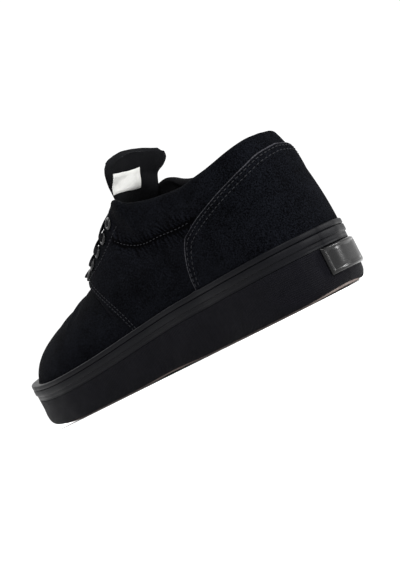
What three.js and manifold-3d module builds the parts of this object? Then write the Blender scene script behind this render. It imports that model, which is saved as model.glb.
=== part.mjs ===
// Left low-top skateboarding shoe: suede upper, black rubber sidewall and a waffle outsole.
// Millimetres. +X runs from heel to toe, +Y to the wearer's left (the outer side), +Z is up.
// While it is built, X = 0 is the back of the sidewall and Z = 0 the floor. The last lines
// move the whole shoe so that the origin is on the floor, under the middle of its box.

import * as THREE from 'three';
import { mergeVertices } from 'three/addons/utils/BufferGeometryUtils.js';
import Module from 'manifold-3d';

const wasm = await Module();
wasm.setup();

// Driving dimensions of the whole shoe
const LENGTH = 298;
const HEEL_WIDTH = 74;
const BALL_WIDTH = 103;
const HEEL_HEIGHT = 100;
const INSTEP_HEIGHT = 113;
const MEDIAL_RISE = 3;
const TONGUE_HEIGHT = 140;

// Driving dimensions of the sole
const HEEL_SIDEWALL = 37;
const FOREFOOT_SIDEWALL = 31.5;
const SIDEWALL_THICKNESS = 3;
const SIDEWALL_LIFT = 0.8;
const FOXING_HEIGHT = 11.5;
const FOXING_PROUD = 0.9;
const HEEL_BED = 21;
const FOREFOOT_BED = 14;
const TOE_SPRING = 10;
const HEEL_BEVEL = 2.5;
const ARCH_RISE = 1;
const OUTSOLE_THICKNESS = 5;
const OUTSOLE_MARGIN = 5;
const OUTSOLE_CHAMFER = 0.7;

// Driving dimensions of the waffle tread
const WAFFLE_HALF_LENGTH = 6.75;
const WAFFLE_HALF_WIDTH = 9.6;
const WAFFLE_RIDGE = 1.8;
const WAFFLE_DEPTH = 3;
const WAFFLE_BORDER = 5.5;
const WAFFLE_TURN = -0.08;
const WAFFLE_START_X = 20.9;
const WAFFLE_START_Y = -2.8;

// Driving dimensions of the upper and of what is fitted to it
const UPPER_WALL = 2.4;
const QUARTER_STEP = 1.1;
const COLLAR_PAD = 5.6;
const COLLAR_PUFF = 1.4;
const COUNTER_THICKNESS = 1.4;
const INSOLE_THICKNESS = 4.2;
const INSOLE_DISH = 1.4;
const TONGUE_THICKNESS = 6;
const TONGUE_HALF_WIDTH = 28;
const LABEL_WIDTH = 26;
const LABEL_HEIGHT = 11;
const LABEL_THICKNESS = 0.8;
const TAB_OUTER_Y = 11;
const TAB_INNER_Y = -24;
const TAB_HEIGHT = 16;
const TAB_THICKNESS = 1.7;
const EYELET_PAIRS = 5;
const EYELET_INSET = 7.5;
const EYELET_BORE = 2.2;
const EYELET_BARREL = 0.5;
const EYELET_FLANGE = 4.1;
const EYELET_FLANGE_HEIGHT = 0.8;
const EYELET_SEAT = 0.5;
const LACE_WIDTH = 7.5;
const LACE_THICKNESS = 1.6;
const CLEARANCE = 0.3;
const FITTED_GAP = 0.6;

// Half the outline's width is heel * HEEL_WIDTH / 2 + ball * BALL_WIDTH / 2, before both ends
// are rounded. The centre column is the middle line's offset, a share of the ball width.
const OUTLINE = [
  { at: 0.00, heel: 1.00, ball: 0.00, centre: -0.006 },
  { at: 0.10, heel: 1.00, ball: 0.00, centre: -0.010 },
  { at: 0.17, heel: 1.00, ball: 0.00, centre: 0.003 },
  { at: 0.25, heel: 0.96, ball: 0.00, centre: 0.008 },
  { at: 0.34, heel: 0.70, ball: 0.19, centre: 0.025 },
  { at: 0.42, heel: 0.50, ball: 0.34, centre: 0.033 },
  { at: 0.50, heel: 0.25, ball: 0.575, centre: 0.040 },
  { at: 0.59, heel: 0.08, ball: 0.785, centre: 0.036 },
  { at: 0.67, heel: 0.00, ball: 0.94, centre: 0.023 },
  { at: 0.75, heel: 0.00, ball: 1.00, centre: 0.004 },
  { at: 0.88, heel: 0.00, ball: 1.00, centre: -0.030 },
  { at: 1.00, heel: 0.00, ball: 1.00, centre: -0.062 },
];
const HEEL_ROUND = { reach: 0.125, power: 2.1 };
const TOE_ROUND = { reach: 0.235, power: 2.2 };

// One row for each section of the last. A section starts at the sole's edge, at share at of
// the length, and leans forward up to its top: reach is the top's share of the length, half
// its distance from the middle line as a share of the ball width, heel and instep its height
// as shares of those heights, and ridge the middle line's offset. The last four columns shape
// the bow: rise is a share of the section's height, swell and shoulder are shares of the ball
// width, and drop is a share of the heel height. pad is the share of the collar's padding.
const SECTIONS = [
  { at: 0.000, reach: 0.037, half: 0.000, heel: 1.000, instep: 0.000, ridge: -0.004, rise: 0.34,
    swell: 0.030, shoulder: 0.055, drop: 0.26, pad: 1.0 },
  { at: 0.008, reach: 0.042, half: 0.088, heel: 0.998, instep: 0.000, ridge: -0.004, rise: 0.34,
    swell: 0.029, shoulder: 0.054, drop: 0.26, pad: 1.0 },
  { at: 0.030, reach: 0.055, half: 0.156, heel: 0.990, instep: 0.000, ridge: -0.004, rise: 0.34,
    swell: 0.026, shoulder: 0.052, drop: 0.26, pad: 1.0 },
  { at: 0.070, reach: 0.082, half: 0.218, heel: 0.974, instep: 0.000, ridge: -0.004, rise: 0.34,
    swell: 0.020, shoulder: 0.046, drop: 0.25, pad: 1.0 },
  { at: 0.110, reach: 0.125, half: 0.252, heel: 0.956, instep: 0.000, ridge: 0.000, rise: 0.34,
    swell: 0.012, shoulder: 0.040, drop: 0.24, pad: 1.0 },
  { at: 0.150, reach: 0.182, half: 0.268, heel: 0.948, instep: 0.000, ridge: 0.002, rise: 0.34,
    swell: 0.008, shoulder: 0.040, drop: 0.24, pad: 1.0 },
  { at: 0.190, reach: 0.250, half: 0.274, heel: 0.630, instep: 0.303, ridge: 0.002, rise: 0.34,
    swell: 0.006, shoulder: 0.044, drop: 0.22, pad: 1.0 },
  { at: 0.230, reach: 0.318, half: 0.276, heel: 0.300, instep: 0.638, ridge: 0.000, rise: 0.35,
    swell: 0.006, shoulder: 0.052, drop: 0.20, pad: 0.95 },
  { at: 0.268, reach: 0.376, half: 0.268, heel: 0.000, instep: 0.965, ridge: -0.004, rise: 0.36,
    swell: 0.008, shoulder: 0.066, drop: 0.17, pad: 0.7 },
  { at: 0.292, reach: 0.406, half: 0.236, heel: 0.000, instep: 1.000, ridge: -0.006, rise: 0.37,
    swell: 0.010, shoulder: 0.085, drop: 0.14, pad: 0.3 },
  { at: 0.318, reach: 0.434, half: 0.200, heel: 0.000, instep: 0.982, ridge: -0.008, rise: 0.38,
    swell: 0.012, shoulder: 0.105, drop: 0.12, pad: 0.0 },
  { at: 0.363, reach: 0.496, half: 0.180, heel: 0.000, instep: 0.898, ridge: -0.010, rise: 0.40,
    swell: 0.014, shoulder: 0.135, drop: 0.09, pad: 0.0 },
  { at: 0.406, reach: 0.556, half: 0.160, heel: 0.000, instep: 0.819, ridge: -0.012, rise: 0.42,
    swell: 0.016, shoulder: 0.165, drop: 0.065, pad: 0.0 },
  { at: 0.446, reach: 0.607, half: 0.130, heel: 0.000, instep: 0.757, ridge: -0.014, rise: 0.45,
    swell: 0.026, shoulder: 0.205, drop: 0.040, pad: 0.0 },
  { at: 0.477, reach: 0.644, half: 0.080, heel: 0.000, instep: 0.712, ridge: -0.015, rise: 0.48,
    swell: 0.032, shoulder: 0.235, drop: 0.015, pad: 0.0 },
  { at: 0.497, reach: 0.661, half: 0.000, heel: 0.000, instep: 0.700, ridge: -0.016, rise: 0.50,
    swell: 0.036, shoulder: 0.250, drop: 0.000, pad: 0.0 },
  { at: 0.564, reach: 0.692, half: 0.000, heel: 0.000, instep: 0.676, ridge: -0.018, rise: 0.54,
    swell: 0.044, shoulder: 0.275, drop: 0.000, pad: 0.0 },
  { at: 0.650, reach: 0.735, half: 0.000, heel: 0.000, instep: 0.645, ridge: -0.024, rise: 0.56,
    swell: 0.048, shoulder: 0.290, drop: 0.000, pad: 0.0 },
  { at: 0.740, reach: 0.782, half: 0.000, heel: 0.000, instep: 0.617, ridge: -0.034, rise: 0.58,
    swell: 0.048, shoulder: 0.290, drop: 0.000, pad: 0.0 },
  { at: 0.830, reach: 0.829, half: 0.000, heel: 0.000, instep: 0.592, ridge: -0.044, rise: 0.60,
    swell: 0.044, shoulder: 0.270, drop: 0.000, pad: 0.0 },
  { at: 0.900, reach: 0.866, half: 0.000, heel: 0.000, instep: 0.573, ridge: -0.052, rise: 0.60,
    swell: 0.038, shoulder: 0.240, drop: 0.000, pad: 0.0 },
  { at: 0.960, reach: 0.893, half: 0.000, heel: 0.000, instep: 0.558, ridge: -0.058, rise: 0.60,
    swell: 0.032, shoulder: 0.210, drop: 0.000, pad: 0.0 },
  { at: 1.000, reach: 0.905, half: 0.000, heel: 0.000, instep: 0.550, ridge: -0.062, rise: 0.60,
    swell: 0.028, shoulder: 0.190, drop: 0.000, pad: 0.0 },
];
const THROAT_FRONT_AT = 0.497;
const SEAM_AT = 0.470;
const SEAM_RAMP = 1.0;
const PAD_START = 0.62;
const PAD_RAMP = 0.2;
const PAD_END_AT = 0.28;

// The counter's upper edge, from the heel's back (0) round to its front edge (1), and its front
// edge up from the sole. Heights are shares of the heel height, at is a share of the length.
const COUNTER_TOP = [
  { forward: 0.00, height: 0.890 },
  { forward: 0.25, height: 0.874 },
  { forward: 0.43, height: 0.844 },
  { forward: 0.66, height: 0.798 },
  { forward: 0.79, height: 0.763 },
  { forward: 0.91, height: 0.718 },
  { forward: 1.00, height: 0.665 },
];
const COUNTER_FRONT = [
  { height: 0.300, at: 0.266 },
  { height: 0.420, at: 0.264 },
  { height: 0.480, at: 0.260 },
  { height: 0.545, at: 0.252 },
  { height: 0.610, at: 0.241 },
  { height: 0.665, at: 0.228 },
];

// Where the ground line leaves the floor, as shares of the length
const BEVEL_END = 0.055;
const ARCH_BACK = 0.30;
const ARCH_FRONT = 0.56;
const SPRING_START = 0.71;

// How finely the forms are divided
const STATION_COUNT = 26;
const OUTER_ROWS = 8;
const INNER_ROWS = 5;
const RIM_ANGLES = [0.3, 0.7];
const SMALL_TURN = 0.004;

const clamp = (value) => Math.min(1, Math.max(0, value));
const mix = (from, to, share) => from + (to - from) * share;
const ease = (value) => clamp(value) ** 2 * (3 - 2 * clamp(value));
const add = (a, b) => a.map((value, axis) => value + b[axis]);
const scale = (a, factor) => a.map((value) => value * factor);
const cross = (a, b) => [
  a[1] * b[2] - a[2] * b[1],
  a[2] * b[0] - a[0] * b[2],
  a[0] * b[1] - a[1] * b[0],
];
const unit = (a) => scale(a, 1 / Math.hypot(...a));

// The slope that keeps a curve through rows from overshooting, at row index
function rowSlope(keys, values, index) {
  const last = keys.length - 1;
  const step = (i) => (values[i + 1] - values[i]) / (keys[i + 1] - keys[i]);
  if (index === 0) return step(0);
  if (index === last) return step(last - 1);
  const before = step(index - 1);
  const after = step(index);
  return before * after <= 0 ? 0 : (2 * before * after) / (before + after);
}

// The smooth curve of one column of a table, at a key of another column
function follow(rows, keyName, column, key, keyMap = (value) => value) {
  const keys = rows.map((row) => keyMap(row[keyName]));
  const values = rows.map((row) => row[column]);
  const bounded = Math.min(Math.max(key, keys[0]), keys[keys.length - 1]);
  let index = 0;
  while (index < keys.length - 2 && bounded > keys[index + 1]) index += 1;
  const width = keys[index + 1] - keys[index];
  const t = (bounded - keys[index]) / width;
  const startSlope = rowSlope(keys, values, index) * width;
  const endSlope = rowSlope(keys, values, index + 1) * width;
  const start = values[index] * (2 * t ** 3 - 3 * t ** 2 + 1) + startSlope * (t ** 3 - 2 * t ** 2 + t);
  const end = values[index + 1] * (3 * t ** 2 - 2 * t ** 3) + endSlope * (t ** 3 - t ** 2);
  return start + end;
}

// The value between low and high at which a rising function reaches its target
function solve(rising, target, low, high) {
  let [from, to] = [low, high];
  for (let count = 0; count < 30; count += 1) {
    const middle = (from + to) / 2;
    if (rising(middle) < target) from = middle;
    else to = middle;
  }
  return (from + to) / 2;
}

// A turn goes once around the shoe: 0 at the heel's back, pi at the toe, the outer side first.
const turnOf = (at) => Math.acos(1 - 2 * clamp(at));
const shareAt = (turn) => (1 - Math.cos(turn)) / 2;
const sideOf = (turn) => (Math.sin(turn) >= 0 ? 1 : -1);
const foldTurn = (turn) => Math.acos(Math.min(1, Math.max(-1, Math.cos(turn))));

function roundEnd(distance, { reach, power }) {
  const depth = clamp(1 - distance / reach);
  return (1 - depth ** power) ** (1 / power);
}

function halfWidth(at) {
  const heel = follow(OUTLINE, 'at', 'heel', at) * HEEL_WIDTH / 2;
  const ball = follow(OUTLINE, 'at', 'ball', at) * BALL_WIDTH / 2;
  return (heel + ball) * roundEnd(at, HEEL_ROUND) * roundEnd(1 - at, TOE_ROUND);
}

function outline(turn) {
  const at = shareAt(turn);
  const centre = follow(OUTLINE, 'at', 'centre', at) * BALL_WIDTH;
  return [at * LENGTH, centre + sideOf(turn) * halfWidth(at)];
}

function outward(turn) {
  const before = outline(turn - SMALL_TURN);
  const after = outline(turn + SMALL_TURN);
  const [x, y] = unit([after[0] - before[0], after[1] - before[1]]);
  return [-y, x];
}

// A point of the outline, moved in by inset
function edge(turn, inset) {
  return add(outline(turn), scale(outward(turn), -inset));
}

const springAt = (x) => TOE_SPRING * clamp((x / LENGTH - SPRING_START) / (1 - SPRING_START)) ** 2;

function groundAt(x) {
  const share = x / LENGTH;
  const bevel = HEEL_BEVEL * clamp(1 - share / BEVEL_END) ** 2;
  const archShare = clamp((share - ARCH_BACK) / (ARCH_FRONT - ARCH_BACK));
  const arch = ARCH_RISE * Math.sin(Math.PI * archShare) ** 2;
  return bevel + arch + springAt(x);
}

const forefootShare = (x) => ease((x / LENGTH - 0.3) / 0.4);
const bedAt = (x) => springAt(x) + mix(HEEL_BED, FOREFOOT_BED, forefootShare(x));
const foxingTopAt = (x) => springAt(x) + mix(HEEL_SIDEWALL, FOREFOOT_SIDEWALL, forefootShare(x));

const column = (turn, name) => follow(SECTIONS, 'at', name, foldTurn(turn), turnOf);

// The top of the section at this turn: the collar, the throat's edge or the vamp's ridge
function topPoint(turn) {
  const side = sideOf(turn);
  const half = column(turn, 'half') * BALL_WIDTH;
  const height = column(turn, 'heel') * HEEL_HEIGHT + column(turn, 'instep') * INSTEP_HEIGHT;
  const collarShare = ease(half / (0.2 * BALL_WIDTH)) * Math.abs(Math.sin(turn));
  const medial = side < 0 ? MEDIAL_RISE * collarShare : 0;
  return [column(turn, 'reach') * LENGTH, column(turn, 'ridge') * BALL_WIDTH + side * half, height + medial];
}

// How the ridge climbs along the vamp, as rise over run
function ridgeSlope(turn) {
  const folded = Math.min(foldTurn(turn), Math.PI - 2 * SMALL_TURN);
  const before = topPoint(folded - SMALL_TURN);
  const after = topPoint(folded + SMALL_TURN);
  return (after[2] - before[2]) / (after[0] - before[0]);
}

const isClosed = (turn) => foldTurn(turn) >= turnOf(THROAT_FRONT_AT) - 1e-6;

// The four control points of a section's bow
function bow(turn) {
  const [outX, outY] = outward(turn);
  const [footX, footY] = edge(turn, SIDEWALL_THICKNESS + CLEARANCE + QUARTER_STEP);
  const foot = [footX, footY, bedAt(footX) + CLEARANCE];
  const top = topPoint(turn);
  const swell = column(turn, 'swell') * BALL_WIDTH;
  const lift = column(turn, 'rise') * (top[2] - foot[2]);
  const shoulder = column(turn, 'shoulder') * BALL_WIDTH;
  const drop = column(turn, 'drop') * HEEL_HEIGHT;
  const climb = isClosed(turn) ? ridgeSlope(turn) * outX * shoulder : 0;
  return [
    foot,
    add(foot, [outX * swell, outY * swell, lift]),
    add(top, [outX * shoulder, outY * shoulder, climb - drop]),
    top,
  ];
}

function lastPoint(turn, rise) {
  const [a, b, c, d] = bow(turn);
  const rest = 1 - rise;
  const weights = [rest ** 3, 3 * rest ** 2 * rise, 3 * rest * rise ** 2, rise ** 3];
  return [0, 1, 2].map((axis) => (
    a[axis] * weights[0] + b[axis] * weights[1] + c[axis] * weights[2] + d[axis] * weights[3]));
}

function lastNormal(turn, rise) {
  if (isClosed(turn) && rise > 1 - 1e-6) return unit([-ridgeSlope(turn), 0, 1]);
  const low = Math.max(0, rise - 0.01);
  const high = Math.min(1, rise + 0.01);
  const up = add(lastPoint(turn, high), scale(lastPoint(turn, low), -1));
  const along = add(lastPoint(turn + SMALL_TURN, rise), scale(lastPoint(turn - SMALL_TURN, rise), -1));
  return unit(cross(up, along));
}

// The quarters lie over the vamp and end at the seam. The collar is puffed up by its padding.
function faceOffset(turn, rise) {
  const rampEnd = turnOf(SEAM_AT + SEAM_RAMP / LENGTH);
  const behindSeam = clamp((rampEnd - foldTurn(turn)) / (rampEnd - turnOf(SEAM_AT)));
  const padShare = clamp((rise - PAD_START) / (1 - PAD_START));
  const puff = COLLAR_PUFF * column(turn, 'pad') * Math.sin(Math.PI * padShare);
  return QUARTER_STEP * behindSeam + puff;
}

function wallDepth(turn, rise) {
  return UPPER_WALL + COLLAR_PAD * column(turn, 'pad') * ease((rise - PAD_START) / PAD_RAMP);
}

// A point off the upper's outer face, and one off its inner face, towards the outside
function offFace(turn, rise, distance) {
  return add(lastPoint(turn, rise), scale(lastNormal(turn, rise), faceOffset(turn, rise) + distance));
}

function offLining(turn, rise, distance) {
  return offFace(turn, rise, distance - wallDepth(turn, rise));
}

const riseAt = (turn, z) => solve((rise) => lastPoint(turn, rise)[2], z, 0, 1);

// The turn, on the outer side, at which the wall has this X at this height
const wallX = (turn, z) => lastPoint(turn, riseAt(turn, z))[0];
const frontTurn = (x, z) => solve((turn) => wallX(turn, z), x, 0, turnOf(THROAT_FRONT_AT));

// Stations along the length, with a close pair at the seam between quarter and vamp
function stationTurns() {
  const seam = [SEAM_AT, SEAM_AT + SEAM_RAMP / LENGTH, THROAT_FRONT_AT];
  const shares = [...seam];
  for (let index = 0; index <= STATION_COUNT; index += 1) {
    const share = shareAt(Math.PI * index / STATION_COUNT);
    if (seam.every((fixed) => Math.abs(fixed - share) * LENGTH > 4)) shares.push(share);
  }
  return shares.sort((a, b) => a - b).map(turnOf);
}
const HALF_TURNS = stationTurns();
const TURNS = [...HALF_TURNS, ...HALF_TURNS.slice(1, -1).reverse().map((turn) => 2 * Math.PI - turn)];

// Six times the volume that a mesh encloses, negative where its faces point inwards
function signedVolume(positions, triangles) {
  const corner = (index) => [positions.getX(index), positions.getY(index), positions.getZ(index)];
  return triangles.reduce((sum, [a, b, c]) => {
    const [p, q] = [corner(a), cross(corner(b), corner(c))];
    return sum + p[0] * q[0] + p[1] * q[1] + p[2] * q[2];
  }, 0);
}

// Merges a mesh's shared corners, drops its empty triangles and points its faces out
function welded(geometry) {
  const merged = mergeVertices(geometry, 1e-4);
  const index = merged.index.array;
  const triangles = [];
  for (let i = 0; i < index.length; i += 3) {
    const [a, b, c] = [index[i], index[i + 1], index[i + 2]];
    if (a !== b && b !== c && c !== a) triangles.push([a, b, c]);
  }
  const inverted = signedVolume(merged.attributes.position, triangles) < 0;
  merged.setIndex(triangles.flatMap(([a, b, c]) => (inverted ? [a, c, b] : [a, b, c])));
  return merged;
}

function solidGeometry(positions, triangles) {
  const geometry = new THREE.BufferGeometry();
  geometry.setAttribute('position', new THREE.Float32BufferAttribute(positions.flat(), 3));
  geometry.setIndex(triangles.flat());
  return welded(geometry);
}

function toManifold(geometry) {
  return new wasm.Manifold(new wasm.Mesh({
    numProp: 3,
    vertProperties: new Float32Array(geometry.attributes.position.array),
    triVerts: new Uint32Array(geometry.index.array),
  }));
}

function fromManifold(solid) {
  const mesh = solid.getMesh();
  const geometry = new THREE.BufferGeometry();
  geometry.setAttribute('position', new THREE.BufferAttribute(new Float32Array(mesh.vertProperties), 3));
  geometry.setIndex(Array.from(mesh.triVerts));
  return geometry;
}

// Quads between two rows of points, as triangles on point numbers
function strip(rowA, rowB, closed) {
  const count = closed ? rowA.length : rowA.length - 1;
  const triangles = [];
  for (let i = 0; i < count; i += 1) {
    const j = (i + 1) % rowA.length;
    triangles.push([rowA[i], rowA[j], rowB[j]], [rowA[i], rowB[j], rowB[i]]);
  }
  return triangles;
}

// Rungs from side to side that close a ring whose points follow TURNS
function rungs(ring, flip) {
  const last = HALF_TURNS.length - 1;
  const other = (index) => (index === 0 || index === last ? index : ring.length - index);
  const triangles = [];
  for (let i = 0; i < last; i += 1) {
    triangles.push([ring[i], ring[i + 1], ring[other(i + 1)]]);
    triangles.push([ring[i], ring[other(i + 1)], ring[other(i)]]);
  }
  return flip ? triangles.map(([a, b, c]) => [a, c, b]) : triangles;
}

// A solid through rings around the shoe, closed by rungs at the first and the last ring
function ringLoft(rings) {
  const positions = rings.flat();
  const rows = rings.map((ring, level) => ring.map((_, index) => level * ring.length + index));
  const triangles = [];
  for (let level = 0; level < rows.length - 1; level += 1) {
    triangles.push(...strip(rows[level], rows[level + 1], true));
  }
  triangles.push(...rungs(rows[0], true), ...rungs(rows[rows.length - 1], false));
  return solidGeometry(positions, triangles);
}

// A ring-shaped solid whose section is the closed loop of the given rings
function ringLoop(rings) {
  const positions = rings.flat();
  const rows = rings.map((ring, level) => ring.map((_, index) => level * ring.length + index));
  const triangles = rows.flatMap((row, level) => strip(row, rows[(level + 1) % rows.length], true));
  return solidGeometry(positions, triangles);
}

// A closed sheet between an outer and an inner grid of points of the same size
function sheet(outer, inner) {
  const width = outer[0].length;
  const grids = [...outer, ...inner];
  const rows = grids.map((row, level) => row.map((_, index) => level * width + index));
  const front = rows.slice(0, outer.length);
  const back = rows.slice(outer.length);
  const triangles = [];
  for (let level = 0; level < front.length - 1; level += 1) {
    triangles.push(...strip(front[level], front[level + 1], false));
    triangles.push(...strip(back[level + 1], back[level], false));
  }
  triangles.push(...strip(back[0], front[0], false));
  triangles.push(...strip(front[front.length - 1], back[back.length - 1], false));
  const left = front.map((row) => row[0]);
  const leftBack = back.map((row) => row[0]);
  const right = front.map((row) => row[width - 1]);
  const rightBack = back.map((row) => row[width - 1]);
  triangles.push(...strip(left, leftBack, false), ...strip(rightBack, right, false));
  return solidGeometry(grids.flat(), triangles);
}

// A bar through sections that are closed loops of points, closed by flat ends
function barThrough(sections) {
  const width = sections[0].length;
  const rows = sections.map((section, level) => section.map((_, index) => level * width + index));
  const triangles = [];
  for (let level = 0; level < rows.length - 1; level += 1) {
    triangles.push(...strip(rows[level], rows[level + 1], true));
  }
  const first = rows[0];
  const last = rows[rows.length - 1];
  for (let i = 1; i < width - 1; i += 1) {
    triangles.push([first[0], first[i + 1], first[i]], [last[0], last[i], last[i + 1]]);
  }
  return solidGeometry(sections.flat(), triangles);
}

const shoe = new THREE.Group();

function addPart(name, geometry, color, roughness, metalness = 0) {
  const flat = geometry.index ? geometry.toNonIndexed() : geometry;
  flat.computeVertexNormals();
  const material = new THREE.MeshStandardMaterial({ color, roughness, metalness });
  const mesh = new THREE.Mesh(flat, material);
  mesh.name = name;
  shoe.add(mesh);
}

const SUEDE_BLACK = '#15161a';
const RUBBER_BLACK = '#161616';
const RUBBER_TAUPE = '#8c8079';
const EYELET_BLACK = '#1b1b1d';

// A ring of the sole: inset from the outline, at a height that depends on X
function soleRing(inset, heightAt) {
  return TURNS.map((turn) => {
    const [x, y] = edge(turn, inset);
    return [x, y, heightAt(x)];
  });
}

// Outsole: a taupe plate with its border, cut by diamond pockets that leave crossing ridges
function waffleCell(centreX, centreY) {
  const slant = Math.hypot(WAFFLE_HALF_LENGTH, WAFFLE_HALF_WIDTH);
  const halfLength = WAFFLE_HALF_LENGTH - (WAFFLE_RIDGE / 2) * slant / WAFFLE_HALF_WIDTH;
  const halfWidthOfCell = WAFFLE_HALF_WIDTH - (WAFFLE_RIDGE / 2) * slant / WAFFLE_HALF_LENGTH;
  const corners = [[halfLength, 0], [0, halfWidthOfCell], [-halfLength, 0], [0, -halfWidthOfCell]];
  const [cos, sin] = [Math.cos(WAFFLE_TURN), Math.sin(WAFFLE_TURN)];
  const placed = corners.map(([x, y]) => [centreX + x * cos - y * sin, centreY + x * sin + y * cos]);
  const below = placed.map(([x, y]) => [x, y, groundAt(x) - 1]);
  const above = placed.map(([x, y]) => [x, y, groundAt(x) + WAFFLE_DEPTH]);
  return barThrough([below, above]);
}

const WAFFLE_ROWS_BEHIND = 3;
const WAFFLE_ROWS_ACROSS = 6;

function wafflePockets() {
  const reach = Math.ceil(LENGTH / WAFFLE_HALF_LENGTH);
  const [cos, sin] = [Math.cos(WAFFLE_TURN), Math.sin(WAFFLE_TURN)];
  const cells = [];
  for (let i = -WAFFLE_ROWS_BEHIND; i <= reach; i += 1) {
    for (let j = -WAFFLE_ROWS_ACROSS; j <= WAFFLE_ROWS_ACROSS; j += 1) {
      const [alongX, acrossY] = [i * WAFFLE_HALF_LENGTH, j * WAFFLE_HALF_WIDTH];
      const x = WAFFLE_START_X + alongX * cos - acrossY * sin;
      const y = WAFFLE_START_Y + alongX * sin + acrossY * cos;
      const at = x / LENGTH;
      const middle = follow(OUTLINE, 'at', 'centre', at) * BALL_WIDTH;
      const room = halfWidth(clamp(at)) - OUTSOLE_MARGIN - WAFFLE_BORDER;
      const onPlate = at > 0 && at < 1 && Math.abs(y - middle) < room + WAFFLE_HALF_WIDTH / 3;
      if (onPlate && (i + j) % 2 === 0) cells.push(waffleCell(x, y));
    }
  }
  return cells.map(toManifold).reduce((all, cell) => all.add(cell));
}

function outsole() {
  const body = toManifold(ringLoft([
    soleRing(OUTSOLE_MARGIN + OUTSOLE_CHAMFER, groundAt),
    soleRing(OUTSOLE_MARGIN, (x) => groundAt(x) + OUTSOLE_CHAMFER),
    soleRing(OUTSOLE_MARGIN, (x) => groundAt(x) + OUTSOLE_THICKNESS),
  ]));
  const core = toManifold(ringLoft([
    soleRing(OUTSOLE_MARGIN + WAFFLE_BORDER, (x) => groundAt(x) - 2),
    soleRing(OUTSOLE_MARGIN + WAFFLE_BORDER, (x) => groundAt(x) + OUTSOLE_THICKNESS),
  ]));
  return fromManifold(body.subtract(wafflePockets().intersect(core)));
}
addPart('outsole', outsole(), RUBBER_TAUPE, 0.75);

// Midsole: the black rubber cup whose wall shows below the foxing. It holds the outsole from
// below, and the upper and the insole stand on its floor.
const MIDSOLE_SIDE = [
  { rise: 0.00, inset: 0.80 },
  { rise: 0.09, inset: 0.50 },
  { rise: 0.33, inset: 0.15 },
];
const midsoleTopAt = (x) => foxingTopAt(x) - FOXING_HEIGHT - CLEARANCE;

function faceRing(heightAt, distance) {
  return TURNS.map((turn) => {
    const z = heightAt(edge(turn, SIDEWALL_THICKNESS)[0]);
    const [x, y] = offFace(turn, riseAt(turn, z), distance);
    return [x, y, z];
  });
}

function midsole() {
  const recess = OUTSOLE_MARGIN - CLEARANCE;
  const bottomAt = (x) => groundAt(x) + SIDEWALL_LIFT;
  const side = MIDSOLE_SIDE.map(({ rise, inset }) => (
    soleRing(inset * SIDEWALL_THICKNESS, (x) => mix(bottomAt(x), midsoleTopAt(x), rise))));
  return ringLoft([
    soleRing(recess, (x) => groundAt(x) + OUTSOLE_THICKNESS + CLEARANCE),
    soleRing(recess, bottomAt),
    ...side,
    soleRing(0, midsoleTopAt),
    faceRing(midsoleTopAt, FITTED_GAP),
    faceRing((x) => mix(midsoleTopAt(x), bedAt(x), 0.5), FITTED_GAP),
    faceRing(bedAt, FITTED_GAP),
  ]);
}
addPart('midsole', midsole(), RUBBER_BLACK, 0.8);

// Foxing: the smooth band around the top of the sidewall, with a groove and a step
const FOXING_SIDE = [
  { down: 1.00, proud: 0.15 },
  { down: 0.76, proud: 0.15 },
  { down: 0.71, proud: 1.00 },
  { down: 0.37, proud: 1.00 },
  { down: 0.33, proud: 0.35 },
  { down: 0.29, proud: 1.00 },
  { down: 0.07, proud: 1.00 },
  { down: 0.00, proud: 0.30 },
];

function foxing() {
  const bottomAt = (x) => foxingTopAt(x) - FOXING_HEIGHT;
  const middleAt = (x) => foxingTopAt(x) - FOXING_HEIGHT / 2;
  const side = FOXING_SIDE.map(({ down, proud }) => (
    soleRing(-FOXING_PROUD * proud, (x) => foxingTopAt(x) - down * FOXING_HEIGHT)));
  return ringLoop([
    ...side,
    faceRing(foxingTopAt, FITTED_GAP),
    faceRing(middleAt, FITTED_GAP),
    faceRing(bottomAt, FITTED_GAP),
  ]);
}
addPart('foxing', foxing(), RUBBER_BLACK, 0.6);

// Upper: one hollow wall, open at the collar, the throat and underneath
function rimStart(turn) {
  if (isClosed(turn)) return 1;
  const run = add(lastPoint(turn, 1), scale(lastPoint(turn, 0.96), -1));
  return 1 - 0.04 * (wallDepth(turn, 1) / 2) / Math.hypot(...run);
}

function rimPoints(turn) {
  const start = rimStart(turn);
  const depth = wallDepth(turn, start);
  if (isClosed(turn)) {
    return RIM_ANGLES.map((share) => offFace(turn, 1, -depth * (1 - Math.cos(Math.PI * share)) / 2));
  }
  const outerPoint = offFace(turn, start, 0);
  const normal = lastNormal(turn, start);
  const up = unit(add(lastPoint(turn, start), scale(lastPoint(turn, start - 0.02), -1)));
  return RIM_ANGLES.map((share) => {
    const inward = scale(normal, -depth * (1 - Math.cos(Math.PI * share)) / 2);
    const upward = scale(up, (depth / 2) * Math.sin(Math.PI * share));
    return add(outerPoint, add(inward, upward));
  });
}

function upperColumn(turn) {
  const start = rimStart(turn);
  const outer = [];
  for (let row = 0; row <= OUTER_ROWS; row += 1) outer.push(offFace(turn, start * row / OUTER_ROWS, 0));
  const inner = [];
  for (let row = INNER_ROWS; row >= 0; row -= 1) inner.push(offLining(turn, start * row / INNER_ROWS, 0));
  return [...outer, ...rimPoints(turn), ...inner];
}

function upperShell() {
  const columns = TURNS.map(upperColumn);
  const height = columns[0].length;
  const positions = columns.flat();
  const triangles = [];
  columns.forEach((_, index) => {
    const next = (index + 1) % columns.length;
    const bothClosed = isClosed(TURNS[index]) && isClosed(TURNS[next]);
    for (let row = 0; row < height; row += 1) {
      const onRim = row >= OUTER_ROWS && row <= OUTER_ROWS + RIM_ANGLES.length;
      if (!(onRim && bothClosed)) {
        const up = (row + 1) % height;
        const [a, b] = [index * height + row, next * height + row];
        const [c, d] = [next * height + up, index * height + up];
        triangles.push([a, b, c], [a, c, d]);
      }
    }
  });
  return solidGeometry(positions, triangles);
}

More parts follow.
